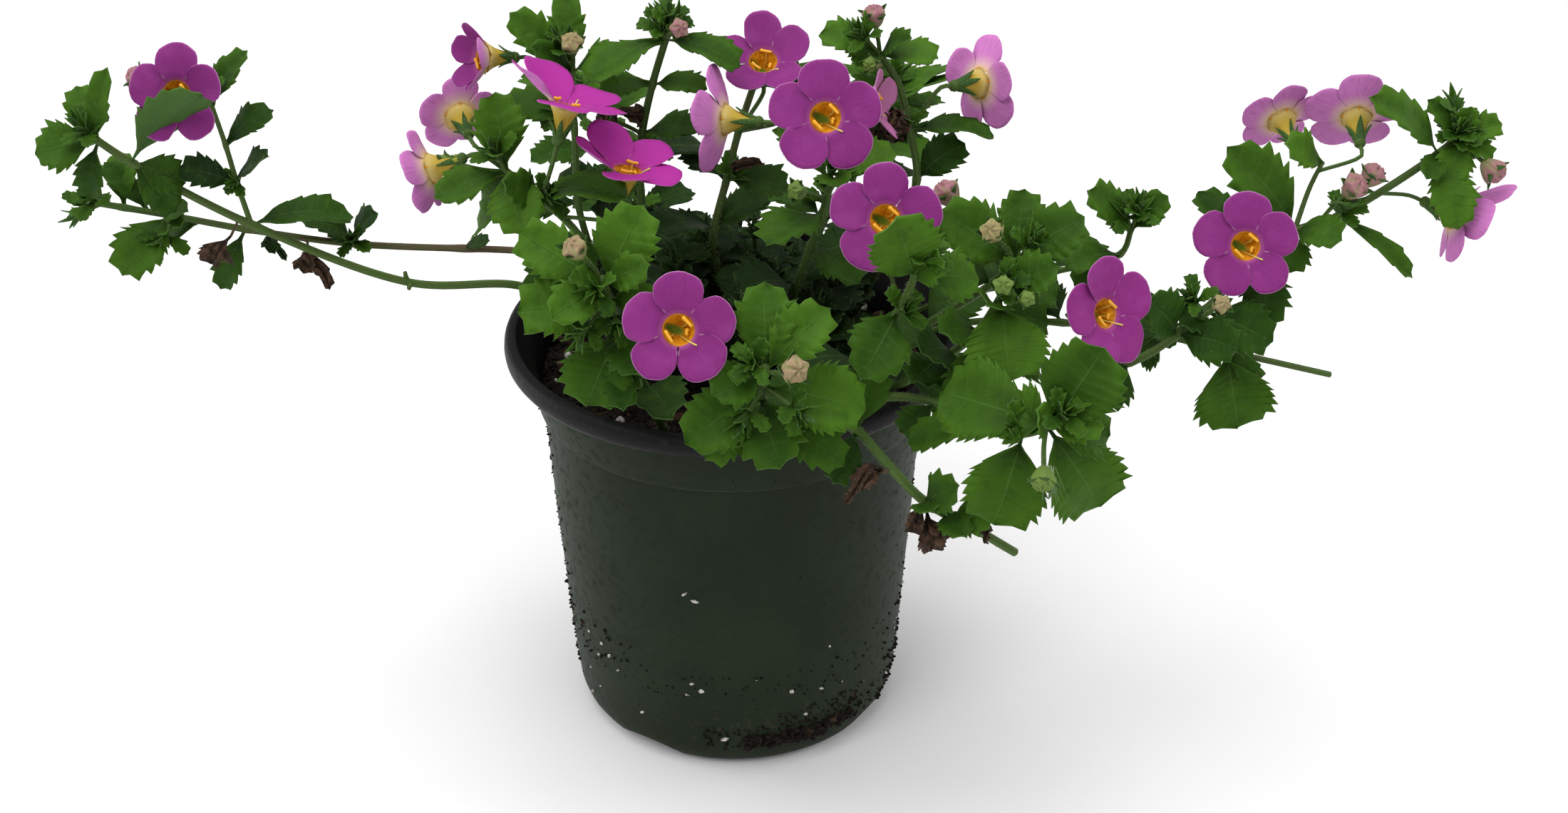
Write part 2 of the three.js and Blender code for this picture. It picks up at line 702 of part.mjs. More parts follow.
function throatSolid([, , , centre, facing]) {
  const profile = [
    [0, -TUBE_LENGTH],
    [TUBE_RADIUS, -TUBE_LENGTH],
    [TUBE_RADIUS, -3.5],
    [THROAT_RADIUS, -0.4],
    [THROAT_RADIUS, 0.6],
    [0, -1.6],
  ];
  const lathe = new THREE.LatheGeometry(profile.map(([x, y]) => new THREE.Vector2(x, y)), 6);
  lathe.rotateX(Math.PI / 2);
  const at = bloomFrame(centre, facing);
  const axes = [at(1, 0, 0), at(0, 1, 0), at(0, 0, 1)].map((end) => end.sub(vector(centre)));
  lathe.applyMatrix4(new THREE.Matrix4().makeBasis(...axes).setPosition(...centre));
  return solidFrom(lathe);
}

function calyxSolid([, , , centre, facing], foot) {
  const at = bloomFrame(centre, facing);
  const points = [foot.toArray(), at(0, 0, -TUBE_LENGTH - 0.5).toArray()];
  const ring = (radius, z, turn) => Array.from({ length: LOBES }, (_, i) => {
    const angle = turnDegrees((360 * i) / LOBES + turn);
    return points.push(at(radius * Math.cos(angle), radius * Math.sin(angle), z).toArray()) - 1;
  });
  const cup = ring(1.2, -CALYX_DEPTH, 0);
  const tips = ring(3.1, -3.6, 0);
  const valleys = ring(2.6, -6.6, 36);
  const inside = ring(1.4, -TUBE_LENGTH - 0.4, 0);
  const path = curveOf([
    at(0, 0, -CALYX_DEPTH).toArray(),
    at(0, 0, -CALYX_DEPTH - STALK_TURN).toArray(),
    foot.toArray(),
  ]);
  const start = at(1, 0, 0).sub(at(0, 0, 0));
  const stalk = STALK_STATIONS.map((share) => {
    const { first, second } = frameAlong(path.getTangent(share).negate(), start);
    const centreLine = path.getPoint(share);
    return Array.from({ length: LOBES }, (_, i) => {
      const angle = turnDegrees((360 * i) / LOBES);
      const point = centreLine.clone()
        .addScaledVector(first, STALK_RADIUS * Math.cos(angle))
        .addScaledVector(second, STALK_RADIUS * Math.sin(angle));
      return points.push(point.toArray()) - 1;
    });
  });
  const rings = [...stalk.reverse(), cup];
  const triangles = [];
  for (let i = 0; i < LOBES; i += 1) {
    const next = (i + 1) % LOBES;
    triangles.push([0, rings[0][next], rings[0][i]]);
    for (let k = 0; k < rings.length - 1; k += 1) {
      const [low, high] = [rings[k], rings[k + 1]];
      triangles.push([low[i], low[next], high[i]], [high[i], low[next], high[next]]);
    }
    triangles.push([cup[i], valleys[i], tips[i]]);
    triangles.push([cup[i], cup[next], valleys[i]]);
    triangles.push([cup[next], tips[next], valleys[i]]);
    triangles.push([1, inside[i], inside[next]]);
    triangles.push([inside[i], tips[i], valleys[i]]);
    triangles.push([inside[i], valleys[i], inside[next]]);
    triangles.push([inside[next], valleys[i], tips[next]]);
  }
  return solidFrom(geometryFrom(points, triangles));
}

// Pot: a lathed shell with drain notches in its lower corner and drain holes in its floor

function ringSolid(profile, facets = POT_FACETS) {
  const lathe = new THREE.LatheGeometry(profile.map(([x, y]) => new THREE.Vector2(x, y)), facets);
  lathe.rotateX(Math.PI / 2);
  return solidFrom(lathe);
}

const RIM_UNDER = POT_HEIGHT - RIM_HEIGHT;
const FLOOR = 6;

const OUTER_WALL = [
  [BASE_RADIUS, 0],
  [BASE_RADIUS + 2, 1.6],
  [BASE_RADIUS + 3.6, 6],
  [COLLAR_RADIUS - 1.2, COLLAR_FOOT],
  [COLLAR_RADIUS, COLLAR_FOOT + 0.6],
  [COLLAR_RADIUS + 1.8, RIM_UNDER],
];

const INNER_WALL = [
  [RIM_RADIUS - 3.4, POT_HEIGHT - 1.2],
  [COLLAR_RADIUS + 1.8 - WALL, RIM_UNDER - 1],
  [COLLAR_RADIUS - WALL, COLLAR_FOOT + 0.6],
  [COLLAR_RADIUS - 1.2 - WALL, COLLAR_FOOT - 0.6],
  [BASE_RADIUS + 3.6 - WALL, FLOOR + 1.6],
  [BASE_RADIUS + 2 - WALL, FLOOR],
];

function notchCutter(angle, grow) {
  const cutter = new THREE.CylinderGeometry(NOTCH_RADIUS + grow, NOTCH_RADIUS + grow, 30, 10);
  cutter.rotateZ(Math.PI / 2);
  cutter.scale(1, 1, (NOTCH_HEIGHT + grow) / (NOTCH_RADIUS + grow));
  cutter.translate(BASE_RADIUS + 3, 0, 0);
  cutter.rotateZ(turnDegrees(angle));
  return solidFrom(cutter);
}

function potSolid() {
  const shell = ringSolid([
    [0, 0],
    ...OUTER_WALL,
    [RIM_RADIUS - 0.6, RIM_UNDER],
    [RIM_RADIUS, RIM_UNDER + 2],
    [RIM_RADIUS - 1, POT_HEIGHT - 0.4],
    [RIM_RADIUS - 2.2, POT_HEIGHT],
    ...INNER_WALL,
    [0, FLOOR],
  ]);
  const cutters = NOTCH_ANGLES.map((angle) => notchCutter(angle, 0));
  NOTCH_ANGLES.forEach((angle) => {
    const drain = new THREE.CylinderGeometry(DRAIN_RADIUS, DRAIN_RADIUS, 20, 10);
    drain.rotateX(Math.PI / 2);
    drain.translate(DRAIN_RING, 0, 0);
    drain.rotateZ(turnDegrees(angle));
    cutters.push(solidFrom(drain));
  });
  return shell.subtract(joined(cutters));
}

// Soil: fills the pot, with a hole for each root

function soilSolid() {
  const fill = INNER_WALL.filter(([, z]) => z < SOIL_TOP).map(([r, z]) => [r - SOIL_GAP, z]);
  const rimOfSoil = COLLAR_RADIUS - WALL - SOIL_GAP + 0.5;
  const shape = ringSolid([
    [0, SOIL_TOP],
    [20, SOIL_TOP + 1],
    [36, SOIL_TOP - 0.5],
    [rimOfSoil, SOIL_TOP - 2],
    ...fill.slice(0, -1),
    [BASE_RADIUS + 2 - WALL - SOIL_GAP, FLOOR + SOIL_GAP],
    [0, FLOOR + SOIL_GAP],
  ].reverse());
  const holes = Object.values(SHOOTS).map(({ stems: [[radius, first, second]] }) => {
    const start = vector(first);
    const heading = vector(second).sub(start).normalize();
    const deep = start.clone().addScaledVector(heading, -1.5);
    const high = start.clone().addScaledVector(heading, 18);
    return tube([deep.toArray(), high.toArray()], radius + STEM_GAP, 5);
  });
  return shape.subtract(joined(holes));
}

// Keeping leaves clear of the other nodes: a leaf that would cross is turned about its base

function boxesMeet(a, b) {
  return [0, 1, 2].every((axis) => a.min[axis] < b.max[axis] && b.min[axis] < a.max[axis]);
}

function isClear(solid, others) {
  const box = solid.boundingBox();
  return others.every((other) => !boxesMeet(box, other.box) || solid.intersect(other.solid).isEmpty());
}

const TURNS = [[0, 0], [14, 0], [-14, 0], [0, 14], [0, -14], [28, 0], [-28, 0], [0, 28], [0, -28], [20, 20],
  [-20, 20], [20, -20], [-20, -20], [42, 0], [-42, 0]];

function turnedTip(base, tip, tilt, [swing, lift]) {
  const hint = vector(UP).lerp(vector(FRONT), tilt);
  const { first, second } = frameAlong(tip.clone().sub(base), hint);
  const end = tip.clone().sub(base);
  end.applyAxisAngle(first, turnDegrees(swing)).applyAxisAngle(second, turnDegrees(-lift));
  return end.add(base);
}

// Assembly

const plant = new THREE.Group();

function addNode(name, solid, [colour, roughness]) {
  const material = new THREE.MeshStandardMaterial({ color: colour, roughness, metalness: 0 });
  const [body] = solid.decompose().sort((a, b) => b.volume() - a.volume());
  const mesh = new THREE.Mesh(geometryOf(body), material);
  mesh.name = name;
  plant.add(mesh);
}

const pot = potSolid();
const soil = soilSolid();
addNode('pot', pot, COLOURS.plastic);
addNode('soil', soil, COLOURS.soil);

const taken = [];
const take = (owner, solid) => taken.push({ owner, solid, box: solid.boundingBox() });
take('pot', pot);
take('soil', soil);

const pieces = {};
for (const [name, shoot] of Object.entries(SHOOTS)) {
  pieces[name] = shoot.stems.map(([radius, ...points]) => tube(points, radius));
}

BLOOMS.forEach((bloom, index) => {
  const [owner, stem, place] = bloom;
  const number = String(index + 1).padStart(2, '0');
  const foot = pointOnStem(SHOOTS[owner].stems[stem], place);
  pieces[owner].push(calyxSolid(bloom, foot));
  const limb = limbSolid(bloom);
  const throat = throatSolid(bloom);
  addNode(`bloom_${number}`, limb, COLOURS.petal);
  addNode(`throat_${number}`, throat, COLOURS.throat);
  take(`bloom_${number}`, limb);
  take(`throat_${number}`, throat);
});

for (const [name, solids] of Object.entries(pieces)) take(name, joined(solids));

for (const [name, shoot] of Object.entries(SHOOTS)) {
  const others = taken.filter(({ owner }) => owner !== name);
  const own = [];
  for (const [stem, place, tip, width, tilt] of shoot.leaves) {
    const base = pointOnStem(shoot.stems[stem], place);
    const fits = TURNS.map((turn) => turnedTip(base, vector(tip), tilt, turn))
      .find((end) => isClear(leafSolid(base, end, width, tilt, CLEARANCE), others));
    if (fits) own.push(leafSolid(base, fits, width, tilt));
  }
  for (const [stem, place, centre, length] of shoot.buds) {
    const foot = pointOnStem(shoot.stems[stem], place);
    const room = budSolid(foot, vector(centre), length + 2 * CLEARANCE);
    if (isClear(room, others)) own.push(budSolid(foot, vector(centre), length));
  }
  for (const [stem, place, tip, count] of shoot.tufts) {
    const foot = pointOnStem(shoot.stems[stem], place);
    own.push(...tuftSolids(foot, vector(tip), count).filter((spike) => isClear(spike, others)));
  }
  own.forEach((solid) => take(name, solid));
  addNode(name, joined([...pieces[name], ...own]), COLOURS.leaf);
}

export default plant;
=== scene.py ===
# A potted bacopa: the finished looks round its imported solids.
# Metres and +Z up, as in the CAD. The layout tables are in millimetres, and MM turns them into metres.

import math

import bpy
import numpy as np
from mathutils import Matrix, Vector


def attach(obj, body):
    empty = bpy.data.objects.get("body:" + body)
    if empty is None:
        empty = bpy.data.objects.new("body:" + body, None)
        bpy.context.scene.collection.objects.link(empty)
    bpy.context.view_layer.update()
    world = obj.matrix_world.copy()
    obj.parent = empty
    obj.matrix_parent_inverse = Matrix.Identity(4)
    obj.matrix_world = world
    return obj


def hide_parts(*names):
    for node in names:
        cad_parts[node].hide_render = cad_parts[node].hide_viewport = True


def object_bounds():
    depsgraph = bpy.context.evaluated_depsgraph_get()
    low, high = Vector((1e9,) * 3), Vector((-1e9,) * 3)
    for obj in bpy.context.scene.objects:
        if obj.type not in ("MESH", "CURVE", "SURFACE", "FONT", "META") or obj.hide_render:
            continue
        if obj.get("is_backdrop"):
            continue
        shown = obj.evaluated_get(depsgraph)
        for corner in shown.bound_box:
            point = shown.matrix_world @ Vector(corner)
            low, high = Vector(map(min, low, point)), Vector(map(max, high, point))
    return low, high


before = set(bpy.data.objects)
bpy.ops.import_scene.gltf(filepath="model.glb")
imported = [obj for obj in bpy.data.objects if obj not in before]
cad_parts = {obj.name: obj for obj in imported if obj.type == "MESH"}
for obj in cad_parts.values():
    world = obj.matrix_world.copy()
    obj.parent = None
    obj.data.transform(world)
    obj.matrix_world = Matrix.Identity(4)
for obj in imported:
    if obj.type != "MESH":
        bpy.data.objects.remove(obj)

CAD_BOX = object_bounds()
MM = 0.001
SMALL = 1e-5

# Sizes of the pot and its soil, in millimetres and degrees, and how many sides they have

POT_HEIGHT = 108
RIM_RADIUS = 57
RIM_UNDER = 102.5
COLLAR_RADIUS = 49.4
COLLAR_FOOT = 88.6
BASE_RADIUS = 39.2
FLOOR = 6
NOTCH_ANGLES = (-122, -32, 58, 148)
NOTCH_HEIGHT = 4.5
NOTCH_RADIUS = 10
DRAIN_RADIUS = 3
DRAIN_RING = 24
CUTTER_LENGTH = 30
CUTTER_SIDES = 64
POT_SEGMENTS = 144
SMOOTH_ANGLE = 38
SOIL_TOP = 96
SOIL_RADIUS = 48.2
SOIL_SEGMENTS = 180

# Sizes of the plant's parts: lengths in millimetres, angles in degrees, and shares

UP = (0, 0, 1)
FRONT = (0, -0.86, 0.51)
LEAF_ARCH = 0.07
LEAF_FOLD = 0.12
LEAF_HALF = 0.17
BIG_LEAF = 15.5
PETAL_HALF = 0.13
PETAL_SWEEP = 132
LOBES = 5
LOBE_ANGLE = 360 / LOBES
HOLE_RADIUS = 3.1
LIMB_RADIUS = 12
CALYX_DEPTH = 9.6
STALK_TURN = 3
STALK_RADIUS = 0.48
END_INSET = 0.12
TUFT_LENGTH = 7.5
BUD_SHARE = 0.92
BEARDED_BUD = 6
HAIR_RADIUS = 0.03
BEARD_RADIUS = 0.055

# Seeds of the random draws, how many there are of what is scattered, and where inner shoots have leaves

SOIL_SEED = 3
CRUMB_SEED = 8
INNER_SEED = 11
SHOOT_SEED = 40
BLOOM_SEED = 100
SOIL_LUMPS = 1000
BARK_CHIPS = 120
SOIL_PERLITE = 70
WALL_PERLITE = 46
INNER_SHOOTS = 34
INNER_PAIRS = (0.9, 1.5, 2)
EDGE_HAIRS = 26
TUFT_HAIRS = 6
BUD_HAIRS = 8
BEARD_HAIRS = 46
SEPAL_HAIRS = 16

# Colours, as linear light

LEAF_YOUNG = (0.048, 0.122, 0.0075)
LEAF_MIDDLE = (0.03, 0.082, 0.005)
LEAF_OLD = (0.0135, 0.031, 0.0075)
LEAF_YELLOW = (0.085, 0.2, 0.012)
LEAF_PALE = (0.14, 0.27, 0.07)
LEAF_DARK = (0.0, 0.01, 0.0)
LEAF_DULL = (0.0, 0.015, 0.0)
LEAF_BACK = (0.085, 0.16, 0.055)
LEAF_SHADE = (0.004, 0.0095, 0.0025)
STEM_GREEN = (0.056, 0.103, 0.021)
STEM_PURPLE = (0.085, 0.046, 0.032)
STEM_DARK = (0.014, 0.026, 0.008)
BUD_GREEN = (0.13, 0.22, 0.04)
BUD_CREAM = (0.34, 0.275, 0.13)
BUD_PINK = (0.34, 0.15, 0.175)
BUD_FOLD_SHADE = (0.09, 0.035, 0.025)
DRY_DARK = (0.026, 0.015, 0.009)
DRY_PALE = (0.1, 0.055, 0.032)
DRY_SPOT = (0.012, 0.007, 0.004)
HAIR_COLOUR = (0.36, 0.46, 0.27)
PETAL = (0.21, 0.0235, 0.17)
PETAL_DEEP = (0.145, 0.012, 0.125)
PETAL_LIGHT = (0.275, 0.05, 0.235)
PETAL_BACK = (0.55, 0.18, 0.48)
PETAL_BACK_CREAM = (0.68, 0.5, 0.4)
PETAL_BACK_GOLD = (0.6, 0.42, 0.1)
PETAL_LIT = (0.4, 0.022, 0.29)
PETAL_FADED = (0.42, 0.15, 0.3)
PETAL_HALO = (0.46, 0.13, 0.32)
PETAL_JOIN_HIGHLIGHT = (0.6, 0.4, 0.5)
PETAL_EDGE = (0.62, 0.32, 0.56)
TUBE_GREEN = (0.2, 0.27, 0.05)
TUBE_OCHRE = (0.43, 0.3, 0.04)
TUBE_PALE = (0.6, 0.47, 0.2)
THROAT_GOLD = (0.62, 0.25, 0.006)
THROAT_ORANGE = (0.5, 0.13, 0.004)
THROAT_YELLOW = (0.8, 0.46, 0.03)
THROAT_GREEN = (0.13, 0.21, 0.016)
THROAT_DEEP = (0.045, 0.1, 0.012)
ANTHER = (0.8, 0.37, 0.012)
STYLE = (0.66, 0.55, 0.1)
SOIL_DARK = (0.006, 0.0045, 0.0035)
SOIL_BROWN = (0.03, 0.021, 0.014)
SOIL_PALE = (0.07, 0.04, 0.02)
BARK_DARK = (0.012, 0.007, 0.005)
BARK_RED = (0.075, 0.034, 0.018)
PERLITE_GREY = (0.2, 0.18, 0.15)
PERLITE_WHITE = (0.62, 0.6, 0.56)
POT_GREEN = (0.0082, 0.0152, 0.0062)
POT_GREEN_PALE = (0.0125, 0.0215, 0.0098)
POT_COLLAR_HIGHLIGHT = (0.07, 0.085, 0.07)
POT_DUST = (0.05, 0.044, 0.033)
POT_SPECK = (0.01, 0.008, 0.006)
POT_BLACK = (0.0038, 0.0036, 0.0037)
RIM_DUST = (0.02, 0.018, 0.016)
FLOOR_COLOUR = (0.86, 0.86, 0.86)

# The studio. A lamp is (name, place, aim, size, power), in metres and watts.

FLOOR_SIZE = 24
FLOOR_GAP = 0.0005
SKY_LIGHT = 0.46
LAMPS = (
    ("top", (-0.1, 0.1, 1.3), (0, 0, 0.1), 1.0, 11),
    ("key", (-0.7, -0.9, 1.3), (0, 0, 0.1), 0.9, 9),
    ("fill", (0.9, -0.8, 0.9), (0, 0, 0.1), 1.2, 4),
    ("left", (-1.3, 0.35, 0.45), (0, 0, 0.08), 0.7, 5),
    ("right", (1.3, 0.35, 0.45), (0, 0, 0.08), 0.7, 4),
)
CAMERA_LENS = 47.78
CAMERA_PLACE = (0.013, -0.4601, 0.3545)
CAMERA_AIM = (0.013, 0, 0.0835)

# Layout of the plant, by shoot. The solids leave out what starts with "more", withered leaves and stubs.
# stems: [radius, points from its root]. A place on a stem is counted in points.
# leaves: [stem, place, tip, width, turn of its face from up (0) to the front (1)].
# buds: [stem, place, centre, length, colour from green (0) to pink (1), or -1 for a dry one].
# tufts: [stem, place, tip of its middle bract, number of bracts].
# brown, faded: withered leaves, [stem, place, tip, width]. stubs: [stem, place].
# tint: how purple the stems are, or from their roots to their tips. age: how much older the leaves look.

STEM_TINT = 0.2

SHOOTS = {
  "left_low": {
    "tint": 0.28, "age": 0.28,
    "stems": [[1.1, [-32, 14, 88], [-43, 13, 105], [-54, 12, 112], [-81, 8, 115], [-117, 0, 135],
        [-141, -8, 155], [-148, -10, 162]],
      [0.7, [-117, 0, 135], [-119, 0, 146], [-121, 2, 155], [-124, 5, 165]]],
    "leaves": [[0, 4, [-94, 10, 134], 13, 0.2], [1, 1, [-131, -4, 152], 9, 0.7],
      [1, 1, [-110, -4, 155], 9, 0.4], [1, 2, [-110, 6, 163], 10, 0.4], [0, 5, [-117, -24, 179], 14, 0.6],
      [0, 6, [-141, -16, 181], 7, 0.8], [0, 6, [-161, -14, 160], 13, 0.7], [0, 6, [-152, -5, 173], 9, 0.6],
      [1, 3, [-115, 8, 177], 8, 0.5]],
    "buds": [[1, 3, [-140, 3, 172], 7, 0.95]],
    "more_leaves": [[0, 5, [-132, -8, 142], 9, 0.7], [0, 6, [-152, -10, 146], 8, 0.7],
      [0, 5, [-130, -4, 148], 10, 0.8]],
    "more_tufts": [[0, 6, [-151, -16, 170], 5], [1, 1, [-121, -4, 148], 4], [1, 3, [-126, 2, 174], 4]],
    "brown": [[0, 4.1, [-126, -2, 124.8], 9]],
    "stubs": [[0, 3], [0, 3.02]],
  },
  "left_back": {
    "tint": (1.0, 0.2), "age": 0.25,
    "stems": [[1.0, [-24, 24, 88], [-35, 27, 105], [-46, 29, 112], [-55, 30, 113], [-97, 22, 119],
        [-122, 12, 128], [-138, 7, 134], [-155, 0, 141]]],
    "leaves": [[0, 6, [-148, -8, 126], 14, 0.9], [0, 6.6, [-150, 12, 149], 9, 0.5],
      [0, 6, [-132, -4, 141], 8, 0.7], [0, 5, [-130, 10, 112], 8, 0.9], [0, 4, [-91, 18, 130], 10, 0.4],
      [0, 4, [-108, 16, 130], 12, 0.4], [0, 3.4, [-63, 24, 119], 5, 0.5]],
    "tufts": [[0, 7, [-163, -3, 137], 3]],
    "more_leaves": [[0, 6, [-134, -2, 136], 5, 0.6], [0, 6.3, [-153, 8, 148], 7, 0.4],
      [0, 5.6, [-144, 10, 126], 7, 0.6]],
    "more_tufts": [[0, 7, [-156, -6, 147], 5], [0, 6, [-140, -6, 128], 4], [0, 4, [-97, 14, 126], 4]],
    "brown": [[0, 4.5, [-103, 6, 118], 8]],
    "faded": [[0, 4.8, [-112, 6, 123.5], 5]],
    "stubs": [[0, 2.6]],
  },
  "upper_left": {
    "stems": [[1.0, [-24, -16, 88], [-30, -22, 122], [-34, -26, 144], [-43, -22, 152], [-52, -18, 158]]],
    "leaves": [[0, 4, [-53, -14, 175], 13, 0.9], [0, 4, [-46, -34, 149], 14, 0.8],
      [0, 4, [-67, -26, 154], 10, 0.5], [0, 3.2, [-62, -12, 139], 10, 0.5],
      [0, 3, [-23, -39, 162], 12, 0.4], [0, 2, [-44, -36, 134], 13, 0.6],
      [0, 1, [-46, -26, 128], 14, 0.3]],
    "more_leaves": [[0, 1, [-16, -30, 128], 14, 0.3], [0, 4, [-58, -12, 144], 9, 0.6],
      [0, 3, [-50, -30, 160], 9, 0.8]],
    "more_buds": [[0, 4, [-66, -12, 157], 4.5, 0.1]],
    "more_tufts": [[0, 3, [-38, -30, 158], 5], [0, 4, [-56, -20, 168], 5], [0, 2, [-38, -30, 138], 4]],
  },
  "top_left": {
    "age": 0.15,
    "stems": [[0.9, [-26, 3, 88], [-33, 2, 120], [-37, 0, 141], [-37, 1, 154], [-37, 2, 176]]],
    "leaves": [[0, 4, [-50, 0, 189], 10, 0.6], [0, 4, [-38, 8, 191], 9, 0.5],
      [0, 4, [-25, -4, 181], 9, 0.4], [0, 3.3, [-54, 6, 166], 11, 0.4], [0, 2, [-52, 4, 136], 14, 0.3],
      [0, 2, [-22, 12, 140], 14, 0.3]],
    "buds": [[0, 4, [-36, -4, 183], 7, 0.55]],
    "more_leaves": [[0, 1.4, [-46, -10, 132], 11, 0.5], [0, 4, [-44, -8, 184], 7, 0.7]],
    "more_tufts": [[0, 4, [-41, -2, 187], 6], [0, 3.3, [-44, 4, 167], 3]],
  },
  "top": {
    "age": 0.15,
    "stems": [[1.0, [-14, 14, 88], [-21, 9, 125], [-22, 4, 150], [-21, 2, 158], [-18, 1, 171],
        [-14, 0, 184]]],
    "leaves": [[0, 5, [-35, -8, 178], 13, 0.1], [0, 5, [3, -4, 178], 12, 0.1],
      [0, 4, [-30, -4, 172], 9, 0.4], [0, 4, [-5, -4, 172], 9, 0.4], [0, 3, [-7, -2, 162], 9, 0.4],
      [0, 2, [-6, 16, 150], 13, 0.3]],
    "buds": [[0, 5, [-11, -8, 188], 6, 0.85], [0, 3, [-29, -2, 164], 6, -1]],
    "tufts": [[0, 5, [-14, 2, 194], 3]],
    "more_leaves": [[0, 2.4, [-24, -8, 160], 6, 0.5], [0, 1, [-34, 4, 138], 11, 0.3]],
    "more_tufts": [[0, 5, [-11, -2, 193], 5], [0, 5, [-17, -2, 192], 5], [0, 2, [-18, -4, 158], 4]],
    "brown": [[0, 3.2, [-26, -3, 164], 7]],
  },
  "mid_back": {
    "tint": 0.35, "age": 0.3,
    "stems": [[1.0, [-4, 16, 88], [-5, 8, 115], [-4, 0, 134], [-1, 4, 145], [2, 8, 156], [6, 10, 168]]],
    "leaves": [[0, 4, [-13, 2, 160], 9, 0.4], [0, 5, [19, 12, 181], 9, 0.4], [0, 3, [14, 0, 145], 12, 0.3],
      [0, 2, [-18, -12, 140], 15, 0.2], [0, 2, [9, 6, 140], 13, 0.2]],
    "more_leaves": [[0, 1, [-16, 2, 120], 15, 0.2], [0, 3, [-12, 10, 150], 8, 0.3]],
    "more_tufts": [[0, 3, [4, 0, 151], 4]],
    "brown": [[0, 3.2, [8, 0, 151], 5]],
  },
  "top_right": {
    "tint": 0.3, "age": 0.1,
    "stems": [[1.0, [24, 16, 88], [38, 8, 122], [45, 0, 147], [43, 2, 159], [40, 4, 170], [35, 4, 178]]],
    "leaves": [[0, 2, [56, 2, 156], 12, 0.5], [0, 3, [63, 0, 159], 10, 0.2], [0, 5, [22, 2, 184], 12, 0.5],
      [0, 5, [49, 0, 178], 11, 0.3], [0, 4, [31, -6, 170], 9, 0.3], [0, 1, [56, 12, 130], 15, 0.3]],
    "buds": [[0, 5, [34, 4, 187], 7, 0.95], [0, 3.4, [35, -2, 160], 8, -1]],
    "more_leaves": [[0, 1, [26, 20, 128], 15, 0.3], [0, 5, [42, -2, 184], 8, 0.5],
      [0, 5, [30, -4, 178], 7, 0.6]],
    "more_buds": [[0, 5, [33, -4, 178], 4.5, 0.0], [0, 3.4, [39, -7, 164], 9, -1]],
    "more_tufts": [[0, 5, [28, -2, 188], 5], [0, 3, [50, 4, 160], 3]],
  },
  "centre": {
    "stems": [[1.0, [8, 4, 88], [16, -8, 122], [22, -17, 146], [24, -20, 156]]],
    "leaves": [[0, 2, [9, -34, 147], 14, 0.3], [0, 3, [38, -22, 164], 13, 0.3],
      [0, 3, [12, -10, 166], 12, 0.3], [0, 1, [32, 2, 130], 15, 0.2], [0, 1.5, [31, -22, 131], 13, 0.3]],
    "buds": [[0, 2.4, [16, -24, 155], 6, 0.05]],
    "more_leaves": [[0, 1, [2, -18, 128], 15, 0.2], [0, 3, [26, -30, 160], 9, 0.6]],
    "more_tufts": [[0, 3, [24, -26, 165], 4]],
  },
  "centre_right": {
    "stems": [[1.0, [18, -14, 88], [30, -38, 118], [38, -57, 141], [41, -66, 155]]],
    "leaves": [[0, 3, [36, -73, 171], 16, 0.9], [0, 3, [55, -62, 152], 12, 0.6],
      [0, 2, [30, -74, 135], 15, 0.9], [0, 1, [44, -32, 124], 14, 0.3]],
    "more_leaves": [[0, 1, [16, -48, 124], 15, 0.3], [0, 3, [46, -70, 160], 9, 0.8]],
    "more_tufts": [[0, 3, [45, -68, 165], 5], [0, 2, [42, -64, 146], 4]],
  },
  "right_a": {
    "stems": [[1.0, [31, -2, 88], [46, -22, 118], [60, -38, 138], [65, -44, 147]]],
    "leaves": [[0, 3, [47, -46, 160], 15, 0.7], [0, 3, [79, -44, 158], 14, 0.6],
      [0, 3, [67, -34, 160], 12, 0.7], [0, 2, [76, -36, 134], 14, 0.4], [0, 1, [60, -16, 126], 15, 0.3]],
    "buds": [[0, 3, [58, -54, 159], 7, 0.4], [0, 2.5, [49, -38, 161], 8, 0.9]],
    "more_leaves": [[0, 2, [50, -42, 146], 9, 0.6]],
    "more_tufts": [[0, 3, [70, -50, 158], 5], [0, 2.4, [68, -44, 148], 4]],
  },
  "right_b": {
    "age": -0.1,
    "stems": [[1.0, [24, -12, 88], [42, -36, 112], [56, -50, 132], [61, -54, 144]]],
    "leaves": [[0, 3, [62, -68, 130], 19, 0.9], [0, 3, [72, -58, 153], 12, 0.5],
      [0, 2, [50, -58, 116], 14, 0.6], [0, 2, [72, -42, 120], 16, 0.5], [0, 1, [58, -40, 106], 14, 0.5]],
    "buds": [[0, 3, [60, -62, 150], 6, 0.05]],
    "more_leaves": [[0, 1.5, [42, -54, 122], 11, 0.5], [0, 2, [48, -58, 137], 12, 0.6],
      [0, 1.6, [44, -56, 131], 13, 0.6], [0, 2.6, [57, -62, 146], 10, 0.7],
      [0, 2.4, [72, -52, 136], 12, 0.6]],
    "more_buds": [[0, 3, [65, -64, 148], 4.5, 0.0]],
    "more_tufts": [[0, 3, [62, -60, 154], 4]],
  },
  "right_sprout": {
    "age": 0.15,
    "stems": [[0.8, [36, 12, 88], [46, 8, 106], [60, 2, 115], [78, -8, 126], [93, -16, 135],
        [95, -16, 142]]],
    "leaves": [[0, 5, [84, -19, 153], 11, 0.6], [0, 5, [102, -18, 151], 9, 0.6],
      [0, 4, [79, -24, 136], 11, 0.4], [0, 3, [90, 2, 130], 14, 0.3], [0, 3, [70, -20, 124], 13, 0.3],
      [0, 2.3, [64, 16, 122], 14, 0.3]],
    "more_leaves": [[0, 4, [82, -20, 128], 11, 0.6]],
    "more_tufts": [[0, 5, [97, -20, 153], 5], [0, 5, [91, -20, 152], 4]],
  },
  "right_long": {
    "tint": 0.25,
    "stems": [[1.1, [34, -10, 88], [45, -18, 106], [55, -25, 112], [74, -34, 115], [93, -40, 119],
        [111, -30, 127], [124, -18, 135], [135, -10, 138], [146, -6, 140], [171, 4, 152], [176, 6, 156]],
